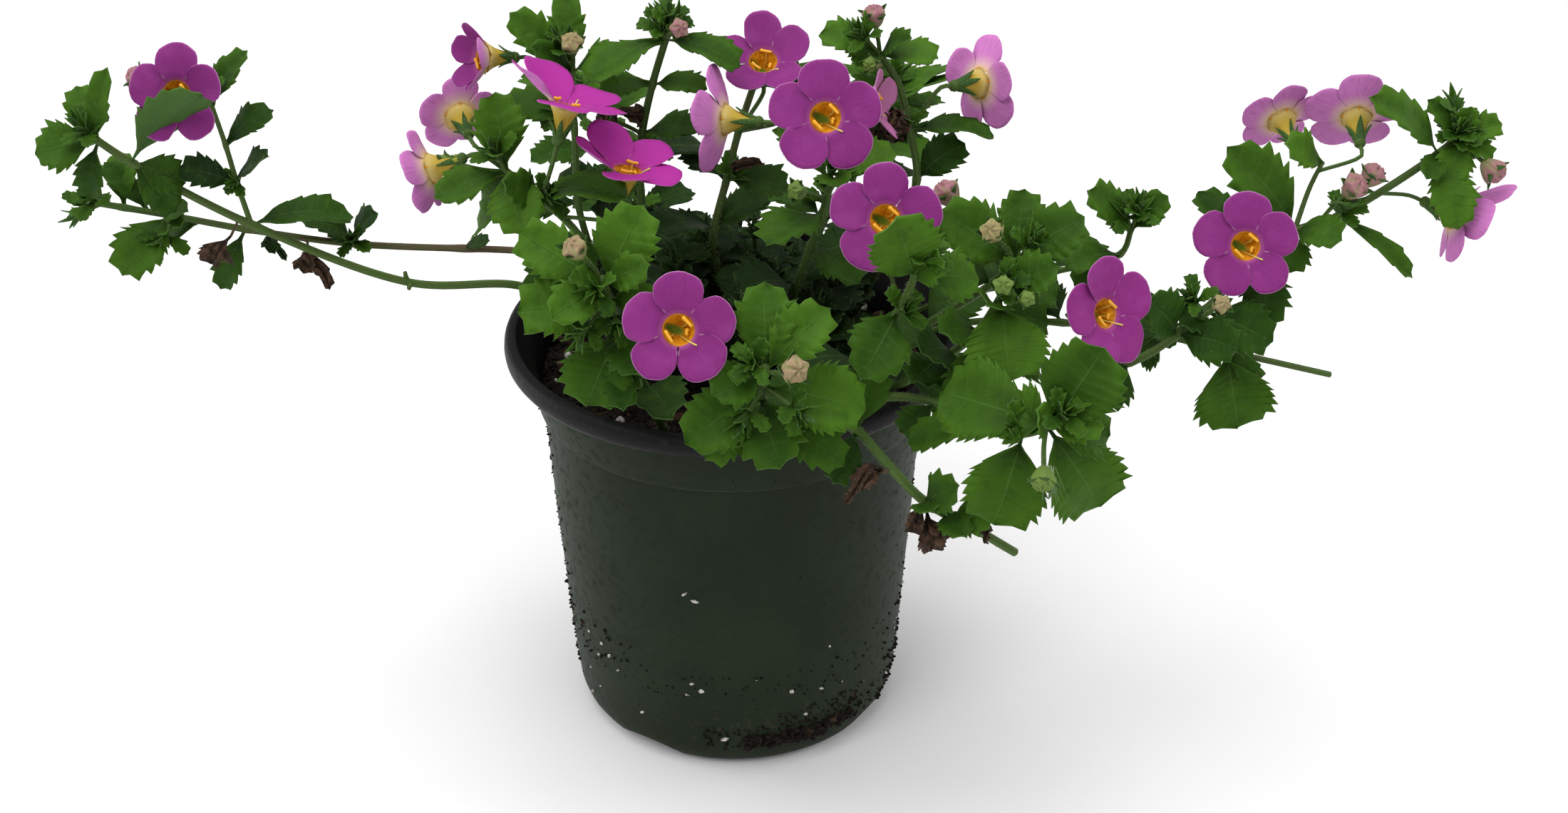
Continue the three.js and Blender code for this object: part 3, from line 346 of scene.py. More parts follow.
      [0.6, [135, -10, 138], [139, -4, 147], [142, -1, 152]]],
    "leaves": [[0, 9, [152, -3, 170], 11, 0.6], [0, 9, [179, -9, 140], 12, 0.8],
      [0, 10, [185, 4, 160], 8, 0.6], [0, 8, [165, -12, 127], 6, 0.5], [0, 7, [117, -13, 161], 15, 0.7],
      [0, 7, [143, -21, 142], 12, 0.6], [1, 2, [132, -6, 159], 10, 0.6], [0, 6, [112, -5, 146], 12, 0.4],
      [0, 4.6, [117, -42, 124], 13, 0.8], [0, 4.6, [96, -42, 136], 13, 0.8],
      [0, 5, [127, -34, 121], 14, 0.8], [0, 4, [99, -26, 130], 12, 0.4], [0, 4, [84, -48, 112], 14, 0.6]],
    "buds": [[0, 10, [183, -2, 150], 8, 0.9], [0, 7.6, [147, -13, 151], 8.5, 0.85],
      [0, 4.8, [112, -42, 135], 6, 0.55]],
    "tufts": [[0, 10, [173, 10, 168], 3]],
    "more_leaves": [[0, 9, [166, -6, 150], 7, 0.7], [0, 7, [134, -16, 130], 9, 0.7],
      [0, 6, [127, -30, 123], 12, 0.8], [0, 5, [105, -38, 128], 9, 0.8], [0, 10, [167, 4, 166], 7, 0.6],
      [0, 10, [177, 4, 164], 7, 0.6], [0, 10, [183, 0, 153], 6, 0.7], [0, 10, [173, -3, 148], 10, 0.8],
      [0, 8, [146, -14, 148], 8, 0.7]],
    "more_buds": [[0, 8, [153, -6, 151], 7, 0.9]],
    "more_tufts": [[0, 10, [172, 3, 163], 6], [0, 10, [181, 2, 159], 6], [0, 10, [177, 2, 163], 6],
      [0, 8, [150, -8, 148], 5], [0, 5, [104, -36, 136], 5], [0, 6, [124, -24, 138], 4]],
  },
  "right_cut": {
    "tint": 0.3, "age": 0.2,
    "stems": [[0.9, [37, 2, 88], [47, -3, 105], [57, -8, 112], [80, -17, 117], [104, -24, 117],
        [119, -22, 112], [147, -16, 102]]],
    "leaves": [[0, 5, [123, -28, 94], 20, 1], [0, 3, [73, -4, 124], 14, 0.3]],
    "more_leaves": [[0, 3.4, [96, -12, 106], 13, 0.5], [0, 4, [98, -20, 110], 12, 0.7],
      [0, 5, [128, -24, 104], 7, 0.9]],
    "more_tufts": [[0, 5, [120, -26, 120], 4], [0, 4, [104, -28, 124], 3]],
  },
  "right_low": {
    "age": -0.25,
    "stems": [[1.1, [24, -26, 88], [32, -40, 108], [40, -50, 115.5], [52, -65, 121], [64, -80, 124],
        [69, -85, 129]]],
    "leaves": [[0, 5, [79, -85, 147], 19, 0.9], [0, 5, [47, -71, 129], 19, 0.9],
      [0, 4, [58, -90, 107], 19, 1], [0, 5, [82, -84, 107], 19, 1], [0, 5, [83, -81, 124], 13, 0.7],
      [0, 3.4, [40, -64, 112], 9, 0.6]],
    "buds": [[0, 5, [67, -94, 121], 7, 0.0]],
    "more_leaves": [[0, 5, [60, -80, 130], 15, 0.9], [0, 2.6, [39, -60, 112], 8, 0.8],
      [0, 5, [66, -90, 135], 9, 0.8], [0, 5, [79, -90, 132], 9, 0.8]],
    "more_tufts": [[0, 5, [73, -93, 139], 6], [0, 4, [60, -88, 130], 4]],
  },
  "front_right": {
    "stems": [[1.1, [12, -34, 88], [16, -45, 107], [21, -57, 114], [29, -69, 118], [36, -74, 112],
        [44, -76, 104], [55, -76, 97], [65, -74, 89]]],
    "leaves": [[0, 5, [50, -84, 113], 10, 0.8], [0, 5.6, [58, -83, 105], 9, 0.8],
      [0, 3, [33, -62, 132], 11, 0.7], [0, 3, [24, -79, 111], 8, 0.9], [0, 5, [45, -83, 106], 8, 0.9]],
    "more_leaves": [[0, 5.4, [52, -86, 102], 8, 0.8]],
    "brown": [[0, 4, [28, -78, 108], 7], [0, 5, [46, -77, 93], 9], [0, 5, [42, -78, 97], 6],
      [0, 6.2, [59, -77, 98], 7]],
    "stubs": [[0, 5.5]],
  },
  "front_left": {
    "age": -0.1,
    "stems": [[1.0, [-14, -30, 88], [-19, -46, 116], [-23, -57, 136], [-26, -62, 152]]],
    "leaves": [[0, 3, [-17, -58, 167], 15, 0.9], [0, 3, [-44, -56, 160], 13, 0.8],
      [0, 2.6, [-44, -66, 146], 15, 0.8], [0, 2, [-30, -70, 125], 17, 0.9],
      [0, 2, [-45, -46, 140], 14, 0.5], [0, 1, [-36, -44, 122], 14, 0.3]],
    "buds": [[0, 3, [-31, -66, 161], 7, 0.6]],
    "more_leaves": [[0, 1, [-12, -64, 120], 14, 0.5], [0, 3, [-36, -72, 148], 11, 0.9],
      [0, 2, [-18, -72, 134], 11, 0.9], [0, 3, [-16, -66, 157], 9, 0.8], [0, 3, [-31, -66, 154], 9, 0.7],
      [0, 2.6, [-14, -66, 149], 9, 0.9], [0, 2.5, [-36, -62, 153], 10, 0.8],
      [0, 1.8, [-22, -73, 126], 9, 0.9]],
    "more_tufts": [[0, 3, [-29, -72, 152], 5], [0, 2.6, [-34, -70, 138], 5], [0, 2.4, [-22, -70, 142], 5]],
  },
  "front": {
    "age": -0.1,
    "stems": [[1.0, [0, -32, 88], [4, -48, 112], [8, -70, 127], [9, -78, 139]]],
    "leaves": [[0, 3, [9, -70, 155], 14, 0.9], [0, 3, [22, -74, 151], 13, 0.8],
      [0, 2.4, [31, -74, 133], 16, 0.9], [0, 2.4, [-8, -84, 124], 15, 0.9], [0, 2, [12, -87, 120], 15, 1],
      [0, 2, [-4, -79, 117], 12, 0.9]],
    "buds": [[0, 3, [15, -88, 144], 8, 0.6]],
    "more_leaves": [[0, 1, [18, -54, 118], 14, 0.4], [0, 3, [-2, -84, 136], 11, 0.9],
      [0, 2, [26, -80, 116], 12, 0.9]],
    "more_tufts": [[0, 3, [4, -86, 146], 5], [0, 2.4, [2, -86, 126], 5], [0, 2.4, [20, -86, 130], 4]],
  },
  "back_left": {
    "stems": [[1.0, [-12, 28, 88], [-26, 42, 116], [-36, 55, 130], [-42, 66, 137]]],
    "leaves": [[0, 3, [-58, 70, 146], 15, 0], [0, 3, [-38, 80, 144], 14, 0], [0, 3, [-32, 64, 150], 12, 0],
      [0, 2, [-54, 48, 132], 16, 0], [0, 2, [-22, 66, 128], 16, 0], [0, 1, [-42, 36, 124], 15, 0],
      [0, 1, [-12, 50, 122], 15, 0]],
    "more_leaves": [[0, 2.5, [-24, 78, 140], 10, 0.1], [0, 1.5, [-18, 60, 132], 14, 0],
      [0, 1.5, [-50, 54, 122], 14, 0], [0, 0.7, [-6, 44, 116], 13, 0], [0, 0.7, [-36, 30, 114], 13, 0],
      [0, 2.6, [-56, 62, 150], 11, 0]],
    "more_buds": [[0, 3, [-48, 74, 142], 6, 0.6]],
    "more_tufts": [[0, 3, [-44, 74, 148], 5], [0, 2, [-36, 62, 140], 5], [0, 1, [-26, 48, 126], 5]],
  },
  "back_right": {
    "stems": [[1.0, [14, 30, 88], [24, 44, 116], [36, 58, 132], [42, 68, 140]]],
    "leaves": [[0, 3, [58, 66, 150], 15, 0], [0, 3, [44, 84, 146], 14, 0], [0, 3, [28, 68, 150], 12, 0],
      [0, 2, [54, 48, 130], 16, 0], [0, 2, [24, 72, 128], 16, 0], [0, 1, [40, 36, 122], 15, 0],
      [0, 1, [8, 50, 120], 15, 0]],
    "more_leaves": [[0, 2.5, [56, 74, 138], 10, 0.1], [0, 1.5, [16, 62, 130], 14, 0],
      [0, 1.5, [50, 54, 124], 14, 0], [0, 0.7, [4, 44, 114], 13, 0], [0, 0.7, [36, 32, 114], 13, 0],
      [0, 2.6, [56, 60, 150], 11, 0]],
    "more_buds": [[0, 3, [38, 76, 148], 6, 0.8]],
    "more_tufts": [[0, 3, [46, 76, 150], 5], [0, 2, [36, 64, 140], 5], [0, 1, [24, 50, 126], 5]],
  },
}

# The leaf that crosses the leftmost bloom shows its underside: [shoot, tip]

TURNED_LEAF = ["left_low", -117, -24, 179]
TURNED_LEAF_TILT = -1.2

# How the solids may have turned a leaf to keep it clear of others: (aside, up), in degrees.
# A corner of a solid that is closer than SAME_TIP is the tip of the leaf.

SAME_TIP = 0.6
TURNS = ((0, 0), (14, 0), (-14, 0), (0, 14), (0, -14), (28, 0), (-28, 0), (0, 28), (0, -28), (20, 20),
         (-20, 20), (20, -20), (-20, -20), (42, 0), (-42, 0))

# A bloom is [shoot, stem, place, centre, facing, diameter, cup as a share of the diameter]

BLOOMS = [
  ["left_low", 1, 3, [-128, -8, 172], [-0.15, -0.9, 0.42], 24, 0.03],
  ["top_left", 0, 3.6, [-57, -5, 180], [-0.8, -0.5, 0.2], 16, 0.3],
  ["upper_left", 0, 4, [-65, 6, 161], [-0.36, 0.91, 0.17], 20, 0.1],
  ["upper_left", 0, 3.6, [-70, -12, 155], [-0.92, 0.1, -0.36], 20, 0.15],
  ["upper_left", 0, 3, [-35, -30, 179], [0.25, 0.27, 0.93], 28, 0.1],
  ["upper_left", 0, 2.5, [-22, -31, 164], [0.14, 0, 0.99], 25, 0.09],
  ["mid_back", 0, 4, [8, 9, 174], [0, -0.5, 0.87], 23, 0.14],
  ["mid_back", 0, 4, [-1, -11, 167], [-0.95, 0.31, -0.07], 26, 0.12],
  ["centre", 0, 3, [22, -38, 179], FRONT, 25.5, 0.03],
  ["centre_right", 0, 2, [35, -52, 161], FRONT, 25, 0.03],
  ["front_left", 0, 1.6, [-9, -78, 148], [0.05, -0.86, 0.5], 24.5, 0.03],
  ["top_right", 0, 3, [60, 9, 168], [0.78, 0.6, -0.17], 23, 0.08],
  ["right_long", 0, 4, [85, -50, 137], [0.6, -0.7, 0.4], 26.5, 0.06],
  ["right_long", 0, 6, [120, -26, 142], FRONT, 25, 0.03],
  ["right_long", 1, 2, [135, 16, 156], [-0.2, 0.85, 0.35], 21, 0.08],
  ["right_long", 1, 1.6, [151, 8, 160], [0.05, 0.9, 0.42], 25, 0.08],
  ["right_long", 0, 8.4, [177, 1, 137], [0.92, -0.1, -0.37], 24, 0.1],
  ["top_right", 0, 4, [35, -10, 170], [0.92, -0.2, 0.33], 17, 0.2],
  ["back_right", 0, 2, [30, 46, 152], [-0.2, 0.3, 0.93], 24, 0.03],
]

# How far each lobe of a bloom is lifted at its tip, and how faded it is, or, below 0, how much painted light
# brightens it

LOBE_LIFTS = {3: (1, -1, 1.5, 0, -1), 4: (-1, 1.5, 0, 1, 0), 5: (4, -1, -1, 1, 4.5), 6: (4, 4, 0, -1, 1.5),
              7: (1, 0, 0, 0, 1), 12: (1, -1.5, 1, 0.5, -1), 17: (8, 3, 0, 0, 2)}
FADED_OR_LIT = {5: -1, 6: -0.9, 13: -0.3, 18: 0.75}


# Geometry helpers. Points are in millimetres until a piece is made.

def unit(v):
    return np.asarray(v, float) / np.linalg.norm(v)


def frame_along(direction, hint):
    """Three axes: the first nearest to the hint, the third along the direction."""
    third = unit(direction)
    hint = np.asarray(hint, float)
    first = unit(hint - third * hint.dot(third))
    return first, np.cross(third, first), third


def turned(v, axis, degrees):
    """v turned about an axis."""
    a = math.radians(degrees)
    k = unit(axis)
    return v * math.cos(a) + np.cross(k, v) * math.sin(a) + k * k.dot(v) * (1 - math.cos(a))


def smooth(x, low, high):
    """A smooth step from 0 to 1 as x goes from low to high."""
    t = np.clip((x - low) / (high - low), 0, 1)
    return t * t * (3 - 2 * t)


def ring(sides):
    """Angles evenly round a circle."""
    return 2 * np.pi * np.arange(sides) / sides


def sideways(first, second, angle):
    """The direction at an angle from the first axis towards the second."""
    return first * math.cos(angle) + second * math.sin(angle)


def placed(origin, axes, x, y, z):
    """Points given along three axes from an origin."""
    return origin + np.outer(x, axes[0]) + np.outer(y, axes[1]) + np.outer(z, axes[2])


class Curve:
    """A smooth line through points. A place on it is counted in points."""

    def __init__(self, points):
        points = [np.array(p, float) for p in points]
        self.points = [2 * points[0] - points[1], *points, 2 * points[-1] - points[-2]]
        self.last = len(points) - 1

    def at(self, place):
        i = int(min(max(place, 0), self.last - SMALL))
        t = place - i
        near = self.points[i:i + 4]
        d = [max(math.sqrt(np.linalg.norm(b - a)), 0.01) for a, b in zip(near, near[1:])]
        p0, p1, p2, p3 = near
        out = ((p1 - p0) / d[0] - (p2 - p0) / (d[0] + d[1]) + (p2 - p1) / d[1]) * d[1]
        into = ((p2 - p1) / d[1] - (p3 - p1) / (d[1] + d[2]) + (p3 - p2) / d[2]) * d[1]
        square, cube = 3 * (p2 - p1) - 2 * out - into, 2 * (p1 - p2) + out + into
        return p1 + out * t + square * t ** 2 + cube * t ** 3

    def joint(self, place):
        """A point just inside the end, where a leaf or a stalk may start."""
        return self.at(min(place, self.last - END_INSET))

    def line(self, step):
        """Places, points and distances along the curve, about a step apart."""
        fine = np.linspace(0, self.last, 24 * self.last + 1)
        points = np.array([self.at(place) for place in fine])
        far = np.concatenate([[0], np.cumsum(np.linalg.norm(np.diff(points, axis=0), axis=1))])
        steps = np.linspace(0, far[-1], max(3, int(far[-1] / step)) + 1)
        places = np.interp(steps, far, fine)
        return places, np.array([self.at(place) for place in places]), steps


def new_object(name, data):
    """A new object of the scene."""
    piece = bpy.data.objects.new(name, data)
    bpy.context.scene.collection.objects.link(piece)
    return piece


def settle(piece, nodes=()):
    """Tells the frame a piece's body and the nodes that it stands for."""
    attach(piece, "root")
    if nodes:
        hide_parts(*nodes)


class Parts:
    """Gathers one piece: points, faces, a finish for each part, and two attributes for each point."""

    def __init__(self):
        self.points = []
        self.faces = []
        self.finishes = []
        self.place = []
        self.kind = []
        self.count = 0

    def add(self, points, faces, finish, place=None, kind=(0, 0, 0)):
        points = np.asarray(points, float)
        self.points.append(points)
        self.place.append(np.zeros((len(points), 3)) if place is None else place)
        self.kind.append(np.broadcast_to(np.asarray(kind, float), (len(points), 3)))
        for group in faces:
            self.faces.append(group + self.count)
            self.finishes.append(np.full(len(group), finish))
        self.count += len(points)

    def piece(self, name, slot, finishes, nodes=()):
        """Makes the piece and gives it to the frame."""
        mesh = bpy.data.meshes.new(name)
        sides = np.concatenate([np.full(len(g), g.shape[1]) for g in self.faces])
        corners = np.concatenate([g.ravel() for g in self.faces])
        mesh.vertices.add(self.count)
        mesh.loops.add(len(corners))
        mesh.polygons.add(len(sides))
        mesh.vertices.foreach_set("co", (np.concatenate(self.points) * MM).ravel())
        mesh.loops.foreach_set("vertex_index", corners)
        mesh.polygons.foreach_set("loop_start", np.concatenate([[0], np.cumsum(sides)[:-1]]))
        mesh.polygons.foreach_set("material_index", np.concatenate(self.finishes))
        for word, values in (("place", self.place), ("kind", self.kind)):
            layer = mesh.attributes.new(word, "FLOAT_VECTOR", "POINT")
            layer.data.foreach_set("vector", np.concatenate(values).ravel())
        mesh.update(calc_edges=True)
        for finish in finishes:
            mesh.materials.append(finish)
        mesh.polygons.foreach_set("use_smooth", np.ones(len(sides), bool))
        settle(new_object(name, mesh), nodes)


# Templates, modelled once each and shaped anew for every leaf, petal, sepal and bract

def alone(piece=None):
    """The newest object, or the one given, with nothing else selected."""
    piece = piece or bpy.context.object
    bpy.ops.object.select_all(action="DESELECT")
    piece.select_set(True)
    bpy.context.view_layer.objects.active = piece
    return piece


def taken(piece):
    """The points and faces of a template, which is then deleted."""
    mesh = piece.data
    points = np.array([v.co[:] for v in mesh.vertices])
    groups = {}
    for face in mesh.polygons:
        groups.setdefault(len(face.vertices), []).append(face.vertices[:])
    bpy.data.objects.remove(piece)
    return points, [np.array(group) for group in groups.values()]


SHELLS = {}


def shell(rows, columns):
    """A thin closed sheet of rows by columns, as (row from 0 to 1, column from -1 to 1, side) and faces."""
    if (rows, columns) not in SHELLS:
        bpy.ops.mesh.primitive_grid_add(x_subdivisions=rows - 1, y_subdivisions=columns - 1, size=2)
        piece = alone()
        body = piece.modifiers.new("body", "SOLIDIFY")
        body.thickness = 0.2
        body.offset = 0
        bpy.ops.object.modifier_apply(modifier=body.name)
        points, faces = taken(piece)
        SHELLS[rows, columns] = ((points[:, 0] + 1) / 2, points[:, 1], np.sign(points[:, 2])), faces
    return SHELLS[rows, columns]


def ball(segments, rings):
    """A round closed template, as points and faces."""
    if ("ball", segments, rings) not in SHELLS:
        bpy.ops.mesh.primitive_uv_sphere_add(segments=segments, ring_count=rings, radius=1)
        SHELLS["ball", segments, rings] = taken(alone())
    return SHELLS["ball", segments, rings]


def pipe(rows, sides):
    """The faces of a closed tube of rows and sides. The last two points are the middles of its ends."""
    if ("pipe", rows, sides) not in SHELLS:
        row, side = np.divmod(np.arange((rows - 1) * sides), sides)
        ahead = (side + 1) % sides
        wall = np.stack([row * sides + side, row * sides + ahead, (row + 1) * sides + ahead,
                         (row + 1) * sides + side], axis=1)
        side = np.arange(sides)
        ahead = (side + 1) % sides
        first, last = np.full(sides, rows * sides), np.full(sides, rows * sides + 1)
        top = (rows - 1) * sides
        caps = np.concatenate([np.stack([first, ahead, side], axis=1),
                               np.stack([last, top + side, top + ahead], axis=1)])
        SHELLS["pipe", rows, sides] = [wall, caps]
    return SHELLS["pipe", rows, sides]


# Parts of the plant

GREEN, STEM, BUD, DRY = range(4)
HAIR_SHAPE = ((0, 1, 2), (0, 3, 1), (1, 3, 2), (2, 3, 0))

# Rows of a leaf: (share of its length, how far a tooth stands out, place between the side veins).
# A leaf narrower than the first number of a row of TEETH has the second number of teeth on each side.

LEAF_FOOT = ((0, 0, 0), (0.06, 0, 0), (0.12, 0, 0.1), (0.17, 0, 0.25), (0.23, 0, 0.4))
TEETH = ((8, 3), (12, 4), (BIG_LEAF, 5), (math.inf, 7))
FIRST_TOOTH = 0.3
LAST_TOOTH = 0.94


def outline(p, blunt):
    """Half width of a blade at a share p of its length, 1 at the widest place."""
    widest = 0.95 / (0.95 + blunt)
    return np.clip((p / widest) ** 0.95 * ((1 - p) / (1 - widest)) ** blunt, 0, 1)


def leaf_hint(tilt):
    """The way that a leaf faces: up at 0, and to the front at 1."""
    return np.array(UP) * (1 - tilt) + np.array(FRONT) * tilt


def leaf(parts, base, tip, width, tilt, rng, age=0.3, finish=GREEN, curl=0.0, columns=9):
    """A toothed blade on a short stalk, arched and folded along its midrib."""
    along = tip - base
    length = np.linalg.norm(along)
    normal, side, forward = frame_along(along, leaf_hint(tilt))
    big = width > BIG_LEAF
    teeth = next(count for limit, count in TEETH if width < limit)
    deep = 0.35 + (0.072 if big else 0.098) * width
    share = np.linspace(0, 1, teeth + 1) + np.concatenate([[0], rng.normal(0, 0.13 / teeth, teeth - 1), [0]])
    edges = FIRST_TOOTH + (LAST_TOOTH - FIRST_TOOTH) * share
    stations = [*LEAF_FOOT]
    for k, (start, end) in enumerate(zip(edges, edges[1:])):
        step, bold = end - start, rng.uniform(0.62, 1.3) * (0.75 if k == 0 else 1)
        stations += [(start, 0, k + 0.5), (start + 0.42 * step, 0.5 * bold, k + 0.78),
                     (start + 0.82 * step, bold, k + 1)]
    stations += [(0.955, 0, teeth + 0.5), (1, 0, teeth + 1)]
    reach, tooth, vein = (np.array(column) for column in zip(*stations))
    (u, v, face), faces = shell(len(stations), columns)
    row = np.rint(u * (len(stations) - 1)).astype(int)
    x, bite, vein = reach[row], tooth[row], vein[row]
    bite = bite * np.where(v > 0, 1, rng.uniform(0.75, 1.2, len(stations))[row])
    p = np.clip((x - 0.12) / 0.88, 0, 1)
    half = 0.5 * (width - 1.3 * deep) * outline(p, 0.62 if big else 0.78)
    half = np.maximum(half, np.interp(x, [0, 0.2, 0.9, 1], [0.42, 0.6, 0.5, 0.05]))
    back = 0.1 * length * smooth(x, 0.12, 0.35) * (1 - smooth(x, 0.8, 1))
    out = np.abs(v)
    ahead = x * length - back * (1 - out) ** 1.2 + 0.42 * deep * bite * smooth(out, 0.7, 1)
    across = half * v + 0.85 * deep * bite * np.sign(v) * smooth(out, 0.7, 1)
    wave = 0.01 * width * np.sin(vein * 2 * np.pi + np.sign(v)) * out ** 2
    ripple = 0.045 * width * np.sin(3.3 * x * np.pi + rng.uniform(0, 6)) * out ** 2 * np.sign(v + 0.01)
    lift = LEAF_ARCH * length * np.sin(np.pi * x) + (LEAF_FOLD + rng.uniform(-0.06, 0.1)) * np.abs(across)
    lift = lift + wave + ripple - rng.uniform(0, 0.09) * length * smooth(x, 0.6, 1) ** 2
    twist = math.radians(rng.uniform(-10, 10)) * x
    cos, sin = np.cos(twist), np.sin(twist)
    across, lift = across * cos - lift * sin, lift * cos + across * sin
    if curl:
        roll = curl * 1.5 * out
        lift = lift + 0.3 * length * np.sin(curl * x * 2.2) + 0.8 * half * np.sin(roll)
        across = across * (1 - 0.3 * np.sin(np.clip(roll, 0, 1.5))) + 0.12 * length * np.sin(curl * 3 * x)
        ahead = ahead * (1 - 0.12 * np.sin(curl * x * 3)) + 0.05 * length * np.sin(9 * v + 5 * x)
    thick = LEAF_HALF + 0.2 * np.exp(-(across / 0.5) ** 2) * (face < 0) * (1 - 0.6 * x)
    lift = lift + face * thick
    points = placed(base, (forward, side, normal), ahead, across, lift)
    place = np.stack([vein, v, (face < 0).astype(float)], axis=1)
    kind = np.stack([np.full(len(x), age), np.full(len(x), rng.random()), x], axis=1)
    parts.add(points, faces, finish, place, kind)
    return points


def stem(parts, points, radius, tint=STEM_TINT, nodes=(), finish=STEM, sides=10, step=1.5, end=0.85):
    """A stem with swollen joints, as a closed tube. Gives back what its hairs stand on."""
    places, line, far = Curve(points).line(step)
    rows = len(line)
    tangent = np.gradient(line, axis=0)
    first = frame_along(tangent[0], (0.3, 0.9, 0.2))[0]
    thick = radius * np.interp(places, [0, places[-1]], [1.05, end])
    for node in nodes:
        thick = thick * (1 + 0.22 * np.exp(-((places - node) / 0.06) ** 2))
    turn = ring(sides)
    rings = []
    for row in range(rows):
        first, second, _ = frame_along(tangent[row], first)
        edge = thick[row] * (1 + 0.06 * np.cos(4 * turn + 0.4))
        x, y = edge * np.cos(turn), edge * np.sin(turn)
        rings.append(line[row] + np.outer(x, first) + np.outer(y, second))
    wall = np.concatenate(rings)
    heading = unit(tangent[-1])
    ends = np.array([line[0] - 0.2 * unit(tangent[0]), line[-1] + 0.5 * thick[-1] * heading])
    place = np.zeros((len(wall) + 2, 3))
    place[:-2, 0] = np.repeat(far, sides)
    place[:-2, 1] = np.tile(turn, rows)
    place[-2:, 0] = far[0], far[-1]
    kind = np.zeros((len(wall) + 2, 3))
    low, high = tint if isinstance(tint, tuple) else (tint, tint)
    kind[:, 0] = np.interp(place[:, 0], [0, far[-1]], [low, high])
    parts.add(np.concatenate([wall, ends]), pipe(rows, sides), finish, place, kind)
    return line, thick, tangent


def hairs(parts, line, thick, tangent, rng, per_mm=5.0, long=0.75):
    """Fine hairs standing out of a stem."""
    length = np.linalg.norm(np.diff(line, axis=0), axis=1).sum()
    for _ in range(int(length * per_mm)):
        spot = rng.uniform(0, len(line) - 1.001)
        i = int(spot)
        root = line[i] + (line[i + 1] - line[i]) * (spot - i)
        first, second, third = frame_along(tangent[i], (0.3, 0.9, 0.2))
        out = sideways(first, second, rng.uniform(0, 2 * np.pi))
        heading = out + third * rng.normal(0.1, 0.35)
        hair(parts, root + out * thick[i] * 0.9, heading, long * rng.uniform(0.5, 1.25))


def fringe(fuzz, base, tip, out, count, rng, start=0.0, wild=0.5, short=0.4, long=0.9):
    """Hairs from base to tip, standing outwards."""
    for _ in range(count):
        at = base + (tip - base) * rng.uniform(start, 1)
        hair(fuzz, at, out + rng.normal(0, wild, 3), rng.uniform(short, long))


def hair(parts, root, heading, length, radius=HAIR_RADIUS):
    """A thin three-sided spike."""
    first, second, third = frame_along(heading, (0.21, 0.37, 0.9))
    turn = ring(3)
    foot = root + radius * (np.outer(np.cos(turn), first) + np.outer(np.sin(turn), second))
    parts.add(np.concatenate([foot, [root + third * length]]), [np.array(HAIR_SHAPE)], 0)


def bract(parts, base, tip, width, rng, age=0.5, finish=GREEN, hollow=0.25, hint=UP):
    """A narrow pointed leaflet, hollow along its middle."""
    normal, side, forward = frame_along(tip - base, hint)
    length = np.linalg.norm(tip - base)
    (u, v, face), faces = shell(7, 5)
    half = 0.5 * width * np.interp(u, [0, 0.15, 0.4, 0.7, 0.9, 1], [0.45, 0.75, 1, 0.7, 0.3, 0.05])
    across = half * v
    lift = hollow * np.abs(across) + 0.06 * length * np.sin(np.pi * u) + face * 0.13
    points = placed(base, (forward, side, normal), u * length, across, lift)
    place = np.stack([0.5 + 0 * u, v, (face < 0).astype(float)], axis=1)
    parts.add(points, faces, finish, place, (age, rng.random(), 0.5))


def tuft(parts, fuzz, base, tip, count, rng, age=0.35):
    """Young bracts fanned round a middle one, with their hairs."""
    first, second, third = frame_along(tip - base, (1, 0.3, 0.2))
    length = np.linalg.norm(tip - base)
    root = tip - third * TUFT_LENGTH if length > TUFT_LENGTH else base
    reach = np.linalg.norm(tip - root)
    start = rng.uniform(0, 6)
    for i in range(count + 3):
        spread = 0 if i == 0 else rng.uniform(0.22, 0.55)
        out = sideways(first, second, start + 2.4 * i)
        end = root + (third * (1 if i == 0 else rng.uniform(0.55, 0.85)) + out * spread) * reach
        width, older = rng.uniform(1.3, 2.3), rng.uniform(-0.2, 0.2)
        bract(parts, root - third * 0.4, end, width, rng, age + older, hint=-out)
        if i % 2:
            end = root + (third * rng.uniform(0.2, 0.55) + out * rng.uniform(0.7, 0.9)) * reach
            leaf(parts, root - third * 0.6, end, rng.uniform(3.2, 4.6), 0.5, rng, age, columns=5)
        fringe(fuzz, root, end, out, TUFT_HAIRS, rng, start=0.1, wild=0.6)
    if length > TUFT_LENGTH + 1:
        stem(parts, [base, (base + root) / 2, root], 0.55, 0.2, sides=6, end=1)


